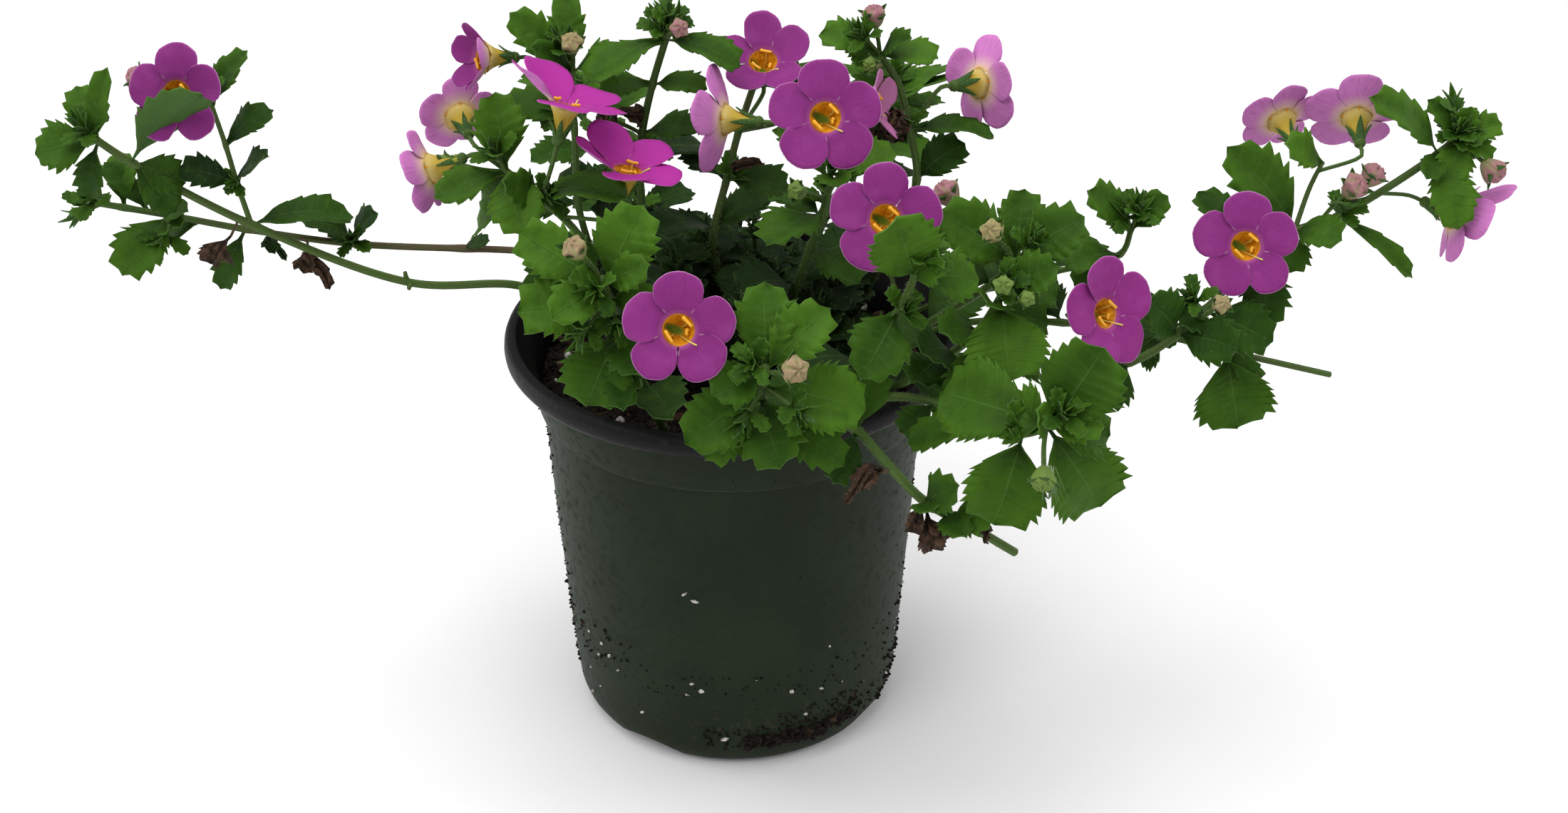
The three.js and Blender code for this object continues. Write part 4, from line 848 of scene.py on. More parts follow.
def bud(parts, fuzz, foot, centre, length, rng, tint):
    """A closed bud: folded lobes lapped over one another, in a cup of sepals, on a stalk."""
    axes = first, second, third = frame_along(centre - foot, (1, 0.2, 0.1))
    points, faces = ball(30, 18)
    z = points[:, 2]
    angle = np.arctan2(points[:, 1], points[:, 0])
    level = np.hypot(points[:, 0], points[:, 1])
    start = rng.uniform(0, 2 * np.pi)
    top = smooth(z, 0.2, 0.7)
    lap = ((angle - start + 1.1 * (1 - level) * top) / (2 * np.pi) * LOBES) % 1
    fold = np.minimum(lap / 0.15, 1) * (1 - 0.8 * lap)
    corner = np.cos(LOBES * (angle - start) - 0.6)
    wide = level ** 0.8 * (1 + 0.13 * corner * smooth(z, -0.8, 0.2)) * (0.9 + 0.16 * fold)
    wide = wide * (0.98 + 0.24 * z)
    reach = length / 2
    x, y = 0.78 * reach * wide * np.cos(angle), 0.78 * reach * wide * np.sin(angle)
    high = reach * (z - 0.42 * top * (z - 0.2) - 0.3 * (1 - fold) * top * level - 0.12 * corner * top)
    shape = placed(centre, axes, x, y, high)
    dry = tint < 0
    if dry:
        shape = shape + rng.normal(0, 0.045 * length, shape.shape)
    place = np.stack([np.clip(fold, 0, 1), z, corner], axis=1)
    parts.add(shape, faces, DRY if dry else BUD, place, (tint, rng.random(), 0))
    base = centre - third * reach * 1.02
    for i in range(LOBES):
        out = sideways(first, second, 2 * math.pi * i / LOBES + 0.3)
        tip = centre + out * reach * 1.14 + third * reach * rng.uniform(0.1, 0.7)
        bract(parts, base + out * 0.3, tip, max(1.7, 0.5 * length), rng, 0.7, hint=-out, hollow=0.5)
        fringe(fuzz, base, tip, out, BUD_HAIRS, rng)
    if tint == 0 and length > BEARDED_BUD:
        for _ in range(BEARD_HAIRS):
            at = base + first * rng.normal(0.8, 0.7) + second * rng.normal(0, 0.7)
            hair(fuzz, at, rng.normal(0, 0.16, 3) + (0.12, -0.35, -1), rng.uniform(5, 10), BEARD_RADIUS)
    middle = (foot + base) / 2 + rng.normal(0, 0.3, 3)
    wall = stem(parts, [foot, middle, base + third * 0.3], STALK_RADIUS, 0.15, sides=7, end=1.15)
    hairs(fuzz, *wall, rng, per_mm=6, long=0.5)


def wilt(parts, base, tip, width, rng, finish):
    """A withered leaf: a thin bent stalk with a short crumpled blade."""
    heading = tip - base
    length = np.linalg.norm(heading)
    neck = base + heading * max(0.2, 1 - 8.5 / length)
    bend = (base + neck) / 2 + rng.normal(0, 0.1, 3) * length
    stem(parts, [base, bend, neck], 0.3, tint=0.9, sides=6, end=1.2)
    for turn in (0, 1):
        end = tip + rng.normal(0, 0.3 * turn, 3) * width * 0.5
        tilt, curl = rng.uniform(0.5, 1), rng.uniform(0.5, 0.9) + turn
        leaf(parts, neck, end, width * (1 - 0.3 * turn), tilt, rng, 1, finish, curl)


# Blooms

def bloom_frame(centre, facing):
    """What turns a bloom's own points into places. Its axes go up, to the left and outwards."""
    axes = frame_along(facing, (0, 0.2, 1))
    centre = np.array(centre, float)
    return lambda x, y, z: placed(centre, axes, x, y, z)


def limb(parts, at, diameter, cup, rng, lifts, fade_or_lit):
    """The round lobes, joined round the tube's mouth, lapping over one another, lifted at their tips."""
    radius = diameter / 2
    (u, v, face), faces = shell(10, 19)
    for lobe in range(LOBES):
        middle = math.radians(LOBE_ANGLE * lobe + rng.normal(0, 2.6))
        swing = math.radians(LOBE_ANGLE * lobe) - middle
        edge = math.radians(PETAL_SWEEP) * v
        fine, finer = rng.uniform(0, 6), rng.uniform(0, 6)
        ripple = 1 + 0.016 * np.sin(5 * edge + fine) + 0.01 * np.sin(9 * edge + finer)
        blunt = np.sign(np.cos(edge)) * np.abs(np.cos(edge)) ** 0.86
        end_x = radius * (0.63 + 0.37 * blunt * ripple * rng.normal(1, 0.03))
        end_y = radius * rng.normal(0.43, 0.024) * np.sin(edge) * ripple
        inner = math.radians(LOBE_ANGLE / 2) * v + swing * (1 - np.abs(v))
        start_x, start_y = HOLE_RADIUS * np.cos(inner), HOLE_RADIUS * np.sin(inner)
        share = u ** 0.9
        x = start_x + (end_x - start_x) * share
        y = start_y + (end_y - start_y) * share
        level = np.hypot(x, y) / radius
        out = level * radius - HOLE_RADIUS
        beyond = np.clip(out / (radius - HOLE_RADIUS), 0, 1.1)
        high = cup * diameter * beyond ** 1.6 - 0.9 * np.clip(1 - out / 1.7, 0, 1) ** 2
        high = high + 0.36 * v * smooth(level, 0.28, 0.55) + 0.45 * (v ** 2 - 0.4) * smooth(level, 0.3, 0.9)
        high = high + (rng.normal(0, 0.05) * radius + lifts[lobe]) * beyond ** 1.3
        high = high - rng.uniform(0.01, 0.08) * radius * smooth(level, 0.7, 1.05)
        high = high + 0.014 * radius * np.sin(7 * v + rng.uniform(0, 6)) * u ** 2
        turn_x = x * math.cos(middle) - y * math.sin(middle)
        turn_y = x * math.sin(middle) + y * math.cos(middle)
        thick = PETAL_HALF * (1 - 0.5 * smooth(u, 0.8, 1))
        place = np.stack([level * radius / LIMB_RADIUS, v, (face < 0).astype(float)], axis=1)
        rim = np.stack([u, np.full(len(u), lobe / LOBES + rng.random()), np.full(len(u), fade_or_lit)], axis=1)
        parts.add(at(turn_x, turn_y, high + face * thick), faces, 0, place, rim)


# The tube as (radius, height), up its outside to the mouth and down its inside. An anther is
# (from angle, to angle, distance from the middle, height), with angles from straight up to the left.
# The style runs through its own points.

TUBE_PROFILE = ((0, -9.2), (0.9, -9.1), (1.15, -8.2), (1.35, -6.6), (1.7, -4.9), (2.1, -3.6), (2.6, -2.5),
                (3.1, -1.7), (3.75, -0.6), (3.45, -0.72), (3.1, -1.2), (2.75, -1.7), (2.35, -2.3),
                (1.95, -3.1), (1.5, -4.2), (0, -4.8))
TUBE_MOUTH = 8
TUBE_SEGMENTS = 30
ANTHERS = ((-15, -72, 2.5, 0.2), (108, 165, 2.5, 0.0), (-95, -130, 1.7, -1.4))
ANTHER_BEND = (0.25, 0.05, 0, 0.1, 0.35)
STYLE_LINE = ((-1.1, -0.3, -4.2), (-2.1, -1.6, -1.6), (-2.8, -2.7, -0.1), (-3.3, -3.7, 0.6))


def throat(parts, at, rng):
    """The funnel of the tube, its anthers on their stalks, and its style."""
    radii, heights = (np.array(column) for column in zip(*TUBE_PROFILE))
    sides = TUBE_SEGMENTS
    wall_r = np.repeat(radii[1:-1], sides)
    wall_z = np.repeat(heights[1:-1], sides)
    inside = np.repeat(np.arange(1, len(radii) - 1) > TUBE_MOUTH, sides)
    angle = np.tile(ring(sides), len(radii) - 2)
    deep, deeper = np.where(inside, 0.09, 0.03), np.where(inside, 0.05, 0)
    ridge = 1 + deep * np.cos(5 * angle) + deeper * np.cos(10 * angle)
    x = np.concatenate([wall_r * ridge * np.cos(angle), [0, 0]])
    y = np.concatenate([wall_r * ridge * np.sin(angle), [0, 0]])
    z = np.concatenate([wall_z, [heights[0], heights[-1]]])
    place = np.stack([np.concatenate([wall_r, [0, 0]]), z, np.concatenate([inside, [0, 1]])], axis=1)
    kind = np.stack([x / HOLE_RADIUS, y / HOLE_RADIUS, np.full(len(x), rng.random())], axis=1)
    parts.add(at(x, y, z), pipe(len(radii) - 2, sides), 0, place, kind)
    for start, end, out, high in ANTHERS:
        bend = np.array(ANTHER_BEND)
        swing = np.radians(np.linspace(start, end, len(bend)) + rng.normal(0, 9))
        arc = at((out + bend) * np.cos(swing), (out + bend) * np.sin(swing), high + 0.5 * bend)
        stem(parts, arc, 0.42, finish=1, sides=8, step=0.5, end=0.8)
        foot = at(1.2 * math.cos(swing[2]), 1.2 * math.sin(swing[2]), -4.0)[0]
        middle = (foot + arc[2]) / 2 + (arc[2] - arc[1]) * 0.4
        stem(parts, [foot, middle, arc[2]], 0.15, finish=2, sides=6, step=1)
    stem(parts, at(*zip(*STYLE_LINE)), 0.13, finish=2, sides=6, step=1, end=1.5)


def calyx(parts, fuzz, at, foot, rng):
    """Narrow sepals round the tube, and the stalk from them to the stem."""
    bottom = at(0, 0, -CALYX_DEPTH)[0]
    for i in range(LOBES):
        a = 2 * math.pi * i / LOBES + rng.normal(0, 0.08)
        spread = rng.uniform(2.7, 3.7)
        base = at(0.9 * math.cos(a), 0.9 * math.sin(a), -CALYX_DEPTH + 0.2)[0]
        tip = at(spread * math.cos(a), spread * math.sin(a), rng.uniform(-4.2, -2.6))[0]
        out = at(math.cos(a), math.sin(a), 0)[0] - at(0, 0, 0)[0]
        bract(parts, base, tip, rng.uniform(1.6, 2.1), rng, 0.5, hint=-out, hollow=0.3)
        fringe(fuzz, base, tip, out, SEPAL_HAIRS, rng, short=0.3, long=0.8)
    points, faces = ball(10, 8)
    cup = at(points[:, 0] * 1.45, points[:, 1] * 1.45, points[:, 2] * 1.3 - CALYX_DEPTH + 1.0)
    parts.add(cup, faces, STEM, None, (0.1, rng.random(), 0))
    path = [bottom, at(0, 0, -CALYX_DEPTH - STALK_TURN)[0], foot]
    wall = stem(parts, path[::-1], STALK_RADIUS, 0.12, sides=8, end=1.1)
    hairs(fuzz, *wall, rng, per_mm=5, long=0.5)


# Finishes

class Socket:
    """A value in a finish. Arithmetic on it adds nodes."""

    def __init__(self, finish, output):
        self.finish = finish
        self.output = output

    def __add__(self, other):
        return self.finish.math("ADD", self, other)

    def __sub__(self, other):
        return self.finish.math("SUBTRACT", self, other)

    def __mul__(self, other):
        return self.finish.math("MULTIPLY", self, other)

    def __truediv__(self, other):
        return self.finish.math("DIVIDE", self, other)

    def __pow__(self, other):
        return self.finish.math("POWER", self, other)

    def __rsub__(self, other):
        return self.finish.math("SUBTRACT", other, self)

    __radd__ = __add__
    __rmul__ = __mul__

    def step(self, low, high, start=0.0, end=1.0):
        """A smooth step from start to end as the value goes from low to high."""
        if low > high:
            low, high, start, end = high, low, end, start
        return self.finish.node("MapRange", {"interpolation_type": "SMOOTHSTEP"}, Value=self, From_Min=low,
                                From_Max=high, To_Min=start, To_Max=end)

    def away(self):
        """The size of the value without its sign."""
        return self.finish.math("ABSOLUTE", self)


class Finish:
    """A material made of nodes."""

    def __init__(self, name, **constants):
        self.material = bpy.data.materials.new(name)
        self.material.use_nodes = True
        self.tree = self.material.node_tree
        self.shader = next(node for node in self.tree.nodes if node.type == "BSDF_PRINCIPLED")
        self.set(**constants)
        place = self.node("TexCoord", output="Object")
        self.where = self.node("VectorMath", {"operation": "SCALE"}, Vector=place, Scale=1 / MM)

    def feed(self, socket, value):
        if isinstance(value, Socket):
            self.tree.links.new(value.output, socket)
        elif isinstance(value, tuple) and len(value) == 3 and socket.type == "RGBA":
            socket.default_value = (*value, 1)
        else:
            socket.default_value = value

    def set(self, **inputs):
        for name, value in inputs.items():
            self.feed(self.shader.inputs[name.replace("_", " ")], value)

    def node(self, kind, settings=None, output=0, **inputs):
        node = self.tree.nodes.new("ShaderNode" + kind)
        for name, value in (settings or {}).items():
            setattr(node, name, value)
        for name, value in inputs.items():
            self.feed(node.inputs[name.replace("_", " ")], value)
        return Socket(self, node.outputs[output])

    def math(self, operation, *values):
        node = self.tree.nodes.new("ShaderNodeMath")
        node.operation = operation
        for socket, value in zip(node.inputs, values):
            self.feed(socket, value)
        return Socket(self, node.outputs[0])

    def mix(self, first, second, share):
        node = self.tree.nodes.new("ShaderNodeMix")
        node.data_type = "RGBA"
        for socket, value in ((node.inputs[0], share), (node.inputs[6], first), (node.inputs[7], second)):
            self.feed(socket, value)
        return Socket(self, node.outputs[2])

    def split(self, vector):
        return [self.node("SeparateXYZ", output=axis, Vector=vector) for axis in "XYZ"]

    def read(self, attribute):
        return self.split(self.node("Attribute", {"attribute_name": attribute}, output="Vector"))

    def noise(self, size, detail=2.0):
        """Noise from 0 to 1, with lumps of about that size in millimetres."""
        return self.node("TexNoise", Vector=self.where, Scale=1 / size, Detail=detail)

    def wash(self, under, colour, strength, share):
        """A colour laid over another at a strength, where the share is 1."""
        return self.mix(under, self.mix(under, colour, strength), share)

    def bump(self, height, depth):
        """Relief of that depth in millimetres, from a height between 0 and 1."""
        self.set(Normal=self.node("Bump", Height=height, Distance=depth * MM, Strength=1.0))


def shade(f):
    """How deep inside the plant a place is, from 0 to 1: growth there is darkened, partly as painted shade
    and partly because it is older.
    """
    x, y, z = f.split(f.where)
    away = (x * x + y * y) ** 0.5
    return away.step(50.0, 34.0) * z.step(142.0, 112.0)


def leaf_finish():
    """Green blades: older ones darker and greyer, with faint paler veins."""
    f = Finish("leaf", Specular_IOR_Level=0.08)
    vein, across, under = f.read("place")
    age, chance, along = f.read("kind")
    wave = f.math("FRACT", vein)
    near = f.math("MINIMUM", wave, 1 - wave)
    side_vein = near.step(0.0, 0.1, 1, 0) * across.away().step(1.0, 0.3, 0.1, 1)
    midrib = across.away().step(0.015, 0.06, 1, 0)
    lines = f.math("MAXIMUM", side_vein * 0.22, midrib * 0.5)
    young = f.mix(LEAF_YOUNG, LEAF_MIDDLE, age.step(0.0, 0.5))
    face = f.mix(young, LEAF_OLD, age.step(0.45, 1.0))
    mottle = f.noise(3.2, 4) * 0.75 + f.noise(0.5, 3) * 0.25
    face = f.wash(face, LEAF_YELLOW, 0.5, mottle.step(0.5, 0.72) * 0.4)
    face = f.wash(face, LEAF_DARK, 0.4, mottle.step(0.5, 0.3) * 0.7)
    face = f.wash(face, LEAF_DULL, 0.5, chance.step(0.2, 1.0))
    # Painted shade: the foot and middle of each blade are darkened.
    face = f.wash(face, LEAF_SHADE, 0.6, along.step(0.7, 0.1) * across.away().step(1.0, 0.2, 0.4, 1))
    # Painted light: younger blades are made lighter and yellower towards their sides.
    face = f.mix(face, LEAF_YELLOW, across.away().step(0.4, 1.0) * (1 - age.step(0.1, 0.8)) * 0.22)
    face = f.wash(face, LEAF_PALE, 0.25, lines)
    face = f.wash(face, LEAF_PALE, 0.16, across.away().step(0.95, 1.0))
    # Painted shade, with older growth: leaves deep inside the plant are darkened.
    face = f.mix(face, LEAF_SHADE, shade(f) * 0.62)
    back = f.mix(face, LEAF_BACK, 0.35)
    f.set(Base_Color=f.mix(face, back, under), Roughness=0.5 + 0.14 * under + 0.1 * mottle)
    pucker = near.step(0.0, 0.5) * 0.16 + f.noise(2.6, 2) * 0.7 + f.noise(0.6, 2) * 0.15 + midrib * -0.3
    f.bump(pucker, 0.42)
    return f.material


def stem_finish():
    """Green stems, turning purplish brown with age, faintly ribbed."""
    f = Finish("stem", Specular_IOR_Level=0.12)
    _, angle, _ = f.read("place")
    tint, _, _ = f.read("kind")
    blotch = f.noise(4.0, 3)
    colour = f.mix(STEM_GREEN, STEM_PURPLE, (tint + (blotch - 0.5) * 0.5).step(0.15, 0.85))
    ribs = f.math("SINE", angle * 4.0) * 0.5 + 0.5
    colour = f.wash(colour, LEAF_PALE, 0.3, ribs.step(0.6, 1.0) * 0.6)
    colour = f.mix(colour, STEM_DARK, f.noise(0.9, 3).step(0.58, 0.75) * 0.4)
    # Painted shade, with older growth: stems deep inside the plant are darkened.
    f.set(Base_Color=f.mix(colour, STEM_DARK, shade(f) * 0.8), Roughness=0.55)
    f.bump(ribs * 0.6 + f.noise(0.4, 2) * 0.4, 0.12)
    return f.material


def bud_finish():
    """Closed buds: green, cream or dusty pink, with painted shade in the folds."""
    f = Finish("bud", Specular_IOR_Level=0.2)
    fold, high, corner = f.read("place")
    tint, _, _ = f.read("kind")
    colour = f.mix(BUD_GREEN, BUD_CREAM, tint.step(0.05, 0.45))
    colour = f.mix(colour, BUD_PINK, tint.step(0.45, 0.95))
    colour = f.mix(f.mix(colour, BUD_GREEN, 0.6), colour, high.step(-0.8, 0.1))
    colour = f.wash(colour, BUD_GREEN, 0.45, corner.step(0.2, 1.0))
    # Painted shade in the creases where one lobe laps over the next.
    dark = f.mix(colour, BUD_FOLD_SHADE, 0.72)
    colour = f.mix(dark, colour, fold.step(0.0, 0.4) * 0.75 + f.noise(0.8, 3) * 0.3)
    f.set(Base_Color=colour, Roughness=0.62)
    f.bump(f.noise(0.45, 3), 0.1)
    return f.material


def dry_finish():
    """Withered leaves and buds, brown and mottled."""
    f = Finish("dry", Roughness=0.8, Specular_IOR_Level=0.2)
    patch = f.noise(1.8, 5)
    colour = f.mix(DRY_DARK, DRY_PALE, patch.step(0.35, 0.7))
    f.set(Base_Color=f.mix(colour, DRY_SPOT, f.noise(0.7, 3).step(0.52, 0.7)))
    f.bump(f.noise(0.8, 4), 0.4)
    return f.material


def petal_finish():
    """Petals: violet, paler at the very edge and behind, with painted highlights by the mouth at the joins,
    painted shade along the joins, and painted light on some blooms.
    """
    f = Finish("petal", Specular_IOR_Level=0.12)
    level, across, under = f.read("place")
    rim, lobe, fade_or_lit = f.read("kind")
    side = across.away()
    streaks = f.node("TexNoise", Vector=f.node("CombineXYZ", X=level * 1.2, Y=across * 6.0 + lobe * 31.0),
                     Scale=3.0, Detail=4.0)
    face = f.mix(PETAL, PETAL_DEEP, streaks.step(0.48, 0.68) * 0.35)
    face = f.mix(face, PETAL_LIGHT, f.noise(5.0, 2).step(0.45, 0.75) * 0.35)
    face = f.mix(face, PETAL_DEEP, level.step(0.62, 0.3) * 0.3)
    # Painted shade along the sides of the lobes, where they lap over their neighbours.
    join_shade = side.step(0.88, 0.97) * level.step(0.36, 0.45) * level.step(0.68, 0.58)
    face = f.mix(face, PETAL_DEEP, join_shade * 0.55)
    # Painted highlight: pale spots at the joins of the lobes near the mouth.
    join_highlight = level.step(0.34, 0.39) * level.step(0.47, 0.42) * side.step(0.8, 0.93)
    face = f.mix(face, PETAL_HALO, level.step(0.38, 0.28) * 0.45)
    face = f.mix(face, PETAL_JOIN_HIGHLIGHT, join_highlight * 0.3)
    face = f.mix(face, THROAT_GOLD, level.step(0.295, 0.272))
    face = f.mix(face, PETAL_EDGE, rim.step(0.965, 1.0) * side.step(1.0, 0.9) * 0.55)
    back = f.mix(PETAL_BACK, PETAL_LIGHT, streaks.step(0.45, 0.7) * 0.35)
    back = f.mix(back, PETAL_BACK_CREAM, level.step(0.62, 0.36) * 0.6)
    back = f.mix(back, PETAL_BACK_GOLD, level.step(0.42, 0.29) * 0.8)
    # Painted light: blooms with a value below 0 are made brighter, standing in for more light falling on
    # them.
    face = f.mix(face, PETAL_LIT, fade_or_lit.step(0.0, -1.0) * 0.75)
    face = f.mix(face, PETAL_FADED, fade_or_lit.step(0.0, 1.0))
    f.set(Base_Color=f.mix(face, back, under), Roughness=0.55 + 0.1 * streaks)
    f.bump(streaks * 0.6 + f.noise(0.35, 2) * 0.4, 0.08)
    return f.material


def throat_finish():
    """The tube: deep gold in the mouth with green at its foot, pale ochre outside."""
    f = Finish("tube", Roughness=0.7, Specular_IOR_Level=0.12)
    _, high, inside = f.read("place")
    across, along, _ = f.read("kind")
    outer = f.mix(TUBE_GREEN, TUBE_OCHRE, high.step(-9.0, -5.5))
    outer = f.mix(outer, TUBE_PALE, high.step(-3.5, -0.6) * 0.6)
    gold = f.mix(THROAT_GOLD, THROAT_ORANGE, f.noise(0.9, 2).step(0.45, 0.62) * 0.75)
    gold = f.mix(gold, THROAT_YELLOW, f.noise(0.7, 2).step(0.55, 0.7) * 0.6)
    wide = (across - along * 0.28) / 0.4
    long = (along - 0.3) / 0.8
    green = (wide * wide + long * long).step(1.2, 0.2)
    inner = f.mix(gold, f.mix(THROAT_GREEN, THROAT_DEEP, along.step(0.3, 0.85)), green)
    f.set(Base_Color=f.mix(outer, inner, inside.step(0.4, 0.6)))
    f.bump(f.noise(0.5, 2), 0.15)
    return f.material


def plain_finish(name, colour, roughness):
    """One colour all over, for hairs, anthers, styles and the floor."""
    return Finish(name, Base_Color=colour, Roughness=roughness).material


def soil_finish():
    """Dark crumbly potting mix."""
    f = Finish("soil_mix", Roughness=0.95, Specular_IOR_Level=0.15)
    grain = f.noise(0.8, 6)
    colour = f.mix(SOIL_DARK, SOIL_BROWN, grain.step(0.45, 0.7))
    f.set(Base_Color=f.mix(colour, SOIL_PALE, f.noise(2.5, 3).step(0.62, 0.7) * 0.6))
    f.bump(grain, 0.8)
    return f.material


def bark_finish():
    """Chips of bark, some redder than others."""
    f = Finish("bark", Roughness=0.85, Specular_IOR_Level=0.2)
    _, chance, _ = f.read("kind")
    red = (chance * 0.7 + f.noise(2.0, 4) * 0.6).step(0.4, 1.1)
    f.set(Base_Color=f.mix(BARK_DARK, BARK_RED, red))
    f.bump(f.noise(0.7, 4), 0.3)
    return f.material


def perlite_finish():
    """White grains, greyer in patches."""
    f = Finish("perlite", Roughness=0.9, Specular_IOR_Level=0.2)
    f.set(Base_Color=f.mix(PERLITE_GREY, PERLITE_WHITE, f.noise(0.9, 4).step(0.35, 0.6)))
    f.bump(f.noise(0.4, 3), 0.2)
    return f.material


def wall_finish():
    """Moulded plastic, dark green, dusted with dried soil, with a painted highlight along its collar's step.
    """
    f = Finish("plastic_green", Specular_IOR_Level=0.11)
    x, y, z = f.split(f.where)
    cloud = f.noise(26.0, 3)
    colour = f.mix(POT_GREEN, POT_GREEN_PALE, cloud.step(0.35, 0.7))
    rings = f.node("CombineXYZ", X=x * 0.2, Y=y * 0.2, Z=z * 2.5)
    scuff = f.node("TexNoise", Vector=rings, Scale=1.0, Detail=3.0)
    colour = f.mix(colour, POT_GREEN_PALE, scuff.step(0.6, 0.75) * 0.4)
    # Painted highlight: a pale line, in patches, along the edge of the step at the collar's foot.
    line = z.step(COLLAR_FOOT - 0.3, COLLAR_FOOT + 0.1) * z.step(COLLAR_FOOT + 0.9, COLLAR_FOOT + 0.5)
    colour = f.mix(colour, POT_COLLAR_HIGHLIGHT, line * f.noise(9.0, 3).step(0.3, 0.7) * 0.6)
    dust = f.noise(2.2, 6)
    low = z.step(34.0, 8.0) * 0.5 + 0.06
    colour = f.mix(colour, POT_DUST, dust.step(0.56, 0.72) * low)
    specks = f.noise(1.1, 2).step(0.7, 0.76)
    colour = f.mix(colour, POT_SPECK, specks * (z.step(60.0, 10.0) * 0.7 + 0.25))
    f.set(Base_Color=colour, Roughness=0.42 + 0.16 * cloud + 0.2 * dust.step(0.5, 0.7))
    f.bump(f.noise(0.5, 2) * 0.3 + scuff * 0.7, 0.05)
    return f.material


def rim_finish():
    """The black rim and inside of the pot, with a dull sheen and some dust."""
    f = Finish("plastic_black", Specular_IOR_Level=0.16)
    dust = f.noise(3.0, 6)
    colour = f.mix(POT_BLACK, RIM_DUST, dust.step(0.55, 0.75) * 0.6)
    f.set(Base_Color=colour, Roughness=0.38 + 0.25 * dust)
    f.bump(f.noise(1.2, 4), 0.12)
    return f.material


# The pot: a profile swept round, then cut by its notches and drain holes

def spun(name, profile, segments):
    """A solid of revolution: a circle extruded up a profile of (radius, height), closed at both ends."""
    (first_r, first_z), *rest = profile
    bpy.ops.mesh.primitive_circle_add(vertices=segments, radius=first_r * MM, location=(0, 0, 0))
    piece = alone()
    piece.name = name
    bpy.ops.object.mode_set(mode="EDIT")
    bpy.ops.mesh.select_all(action="SELECT")
    bpy.ops.transform.translate(value=(0, 0, first_z * MM))
    bpy.ops.mesh.edge_face_add()
    bpy.ops.mesh.select_all(action="SELECT")
    radius, height = first_r, first_z
    for r, z in rest:
        bpy.ops.mesh.extrude_region_move(TRANSFORM_OT_translate={"value": (0, 0, (z - height) * MM)})
        share = r / radius
        bpy.ops.transform.resize(value=(share, share, 1), center_override=(0, 0, z * MM))
        radius, height = r, z
    bpy.ops.mesh.select_all(action="SELECT")
    bpy.ops.mesh.normals_make_consistent(inside=False)
    bpy.ops.object.mode_set(mode="OBJECT")
    return piece


POT_PROFILE = (
    (4, 0), (BASE_RADIUS - 1.5, 0), (BASE_RADIUS - 0.4, 0.15), (BASE_RADIUS + 0.6, 0.6),
    (BASE_RADIUS + 1.8, 1.6), (BASE_RADIUS + 2.8, 3.2), (BASE_RADIUS + 3.5, 5.4), (BASE_RADIUS + 3.8, 8),
    (44.4, 25), (45.4, 41), (46.5, 57), (47.1, 70), (47.8, 84), (COLLAR_RADIUS - 1.5, COLLAR_FOOT - 0.3),
    (COLLAR_RADIUS - 0.9, COLLAR_FOOT + 0.2), (COLLAR_RADIUS - 0.1, COLLAR_FOOT + 0.6),
    (COLLAR_RADIUS + 0.2, COLLAR_FOOT + 1.6), (COLLAR_RADIUS + 1.3, 98),
    (COLLAR_RADIUS + 1.9, RIM_UNDER - 0.4), (COLLAR_RADIUS + 2.4, RIM_UNDER), (RIM_RADIUS - 1.6, RIM_UNDER),
    (RIM_RADIUS - 0.7, RIM_UNDER + 0.3), (RIM_RADIUS - 0.15, RIM_UNDER + 1.1), (RIM_RADIUS, RIM_UNDER + 2.2),
    (RIM_RADIUS - 0.15, POT_HEIGHT - 1.9), (RIM_RADIUS - 0.6, POT_HEIGHT - 0.8),
    (RIM_RADIUS - 1.4, POT_HEIGHT - 0.15), (RIM_RADIUS - 2.2, POT_HEIGHT),
    (RIM_RADIUS - 3.0, POT_HEIGHT - 0.3), (RIM_RADIUS - 3.5, POT_HEIGHT - 1.2),
    (RIM_RADIUS - 4.4, POT_HEIGHT - 3.4), (COLLAR_RADIUS + 0.5, RIM_UNDER - 1.2), (COLLAR_RADIUS - 0.2, 98),
    (COLLAR_RADIUS - 1.4, COLLAR_FOOT + 0.8), (COLLAR_RADIUS - 2.5, COLLAR_FOOT - 0.4),
    (46.4, 84), (45.1, 57), (43.0, 25),
    (BASE_RADIUS + 2.2, FLOOR + 1.6), (BASE_RADIUS + 0.4, FLOOR), (4, FLOOR),
)
POT_OUTSIDE = POT_PROFILE[1:26]


def wall_radius(z):
    """The radius of the pot's outside at a height."""
    radii, heights = zip(*POT_OUTSIDE)
    return float(np.interp(z, heights, radii))


def cylinder(radius, place, angle, lying, flat=1.0):
    """A cutter: a cylinder standing or lying at a place out from the middle, turned about it."""
    turn = math.radians(angle)
    bpy.ops.mesh.primitive_cylinder_add(vertices=CUTTER_SIDES, radius=radius * MM, depth=CUTTER_LENGTH * MM,
                                        location=(0, 0, 0), rotation=(0, math.pi / 2 if lying else 0, 0))
    piece = alone()
    bpy.ops.object.transform_apply(location=False, rotation=True, scale=True)
    piece.scale = (1, 1, flat)
    piece.location = (place * MM * math.cos(turn), place * MM * math.sin(turn), 0)
    piece.rotation_euler = (0, 0, turn)
    bpy.ops.object.transform_apply(location=True, rotation=True, scale=True)
    return piece


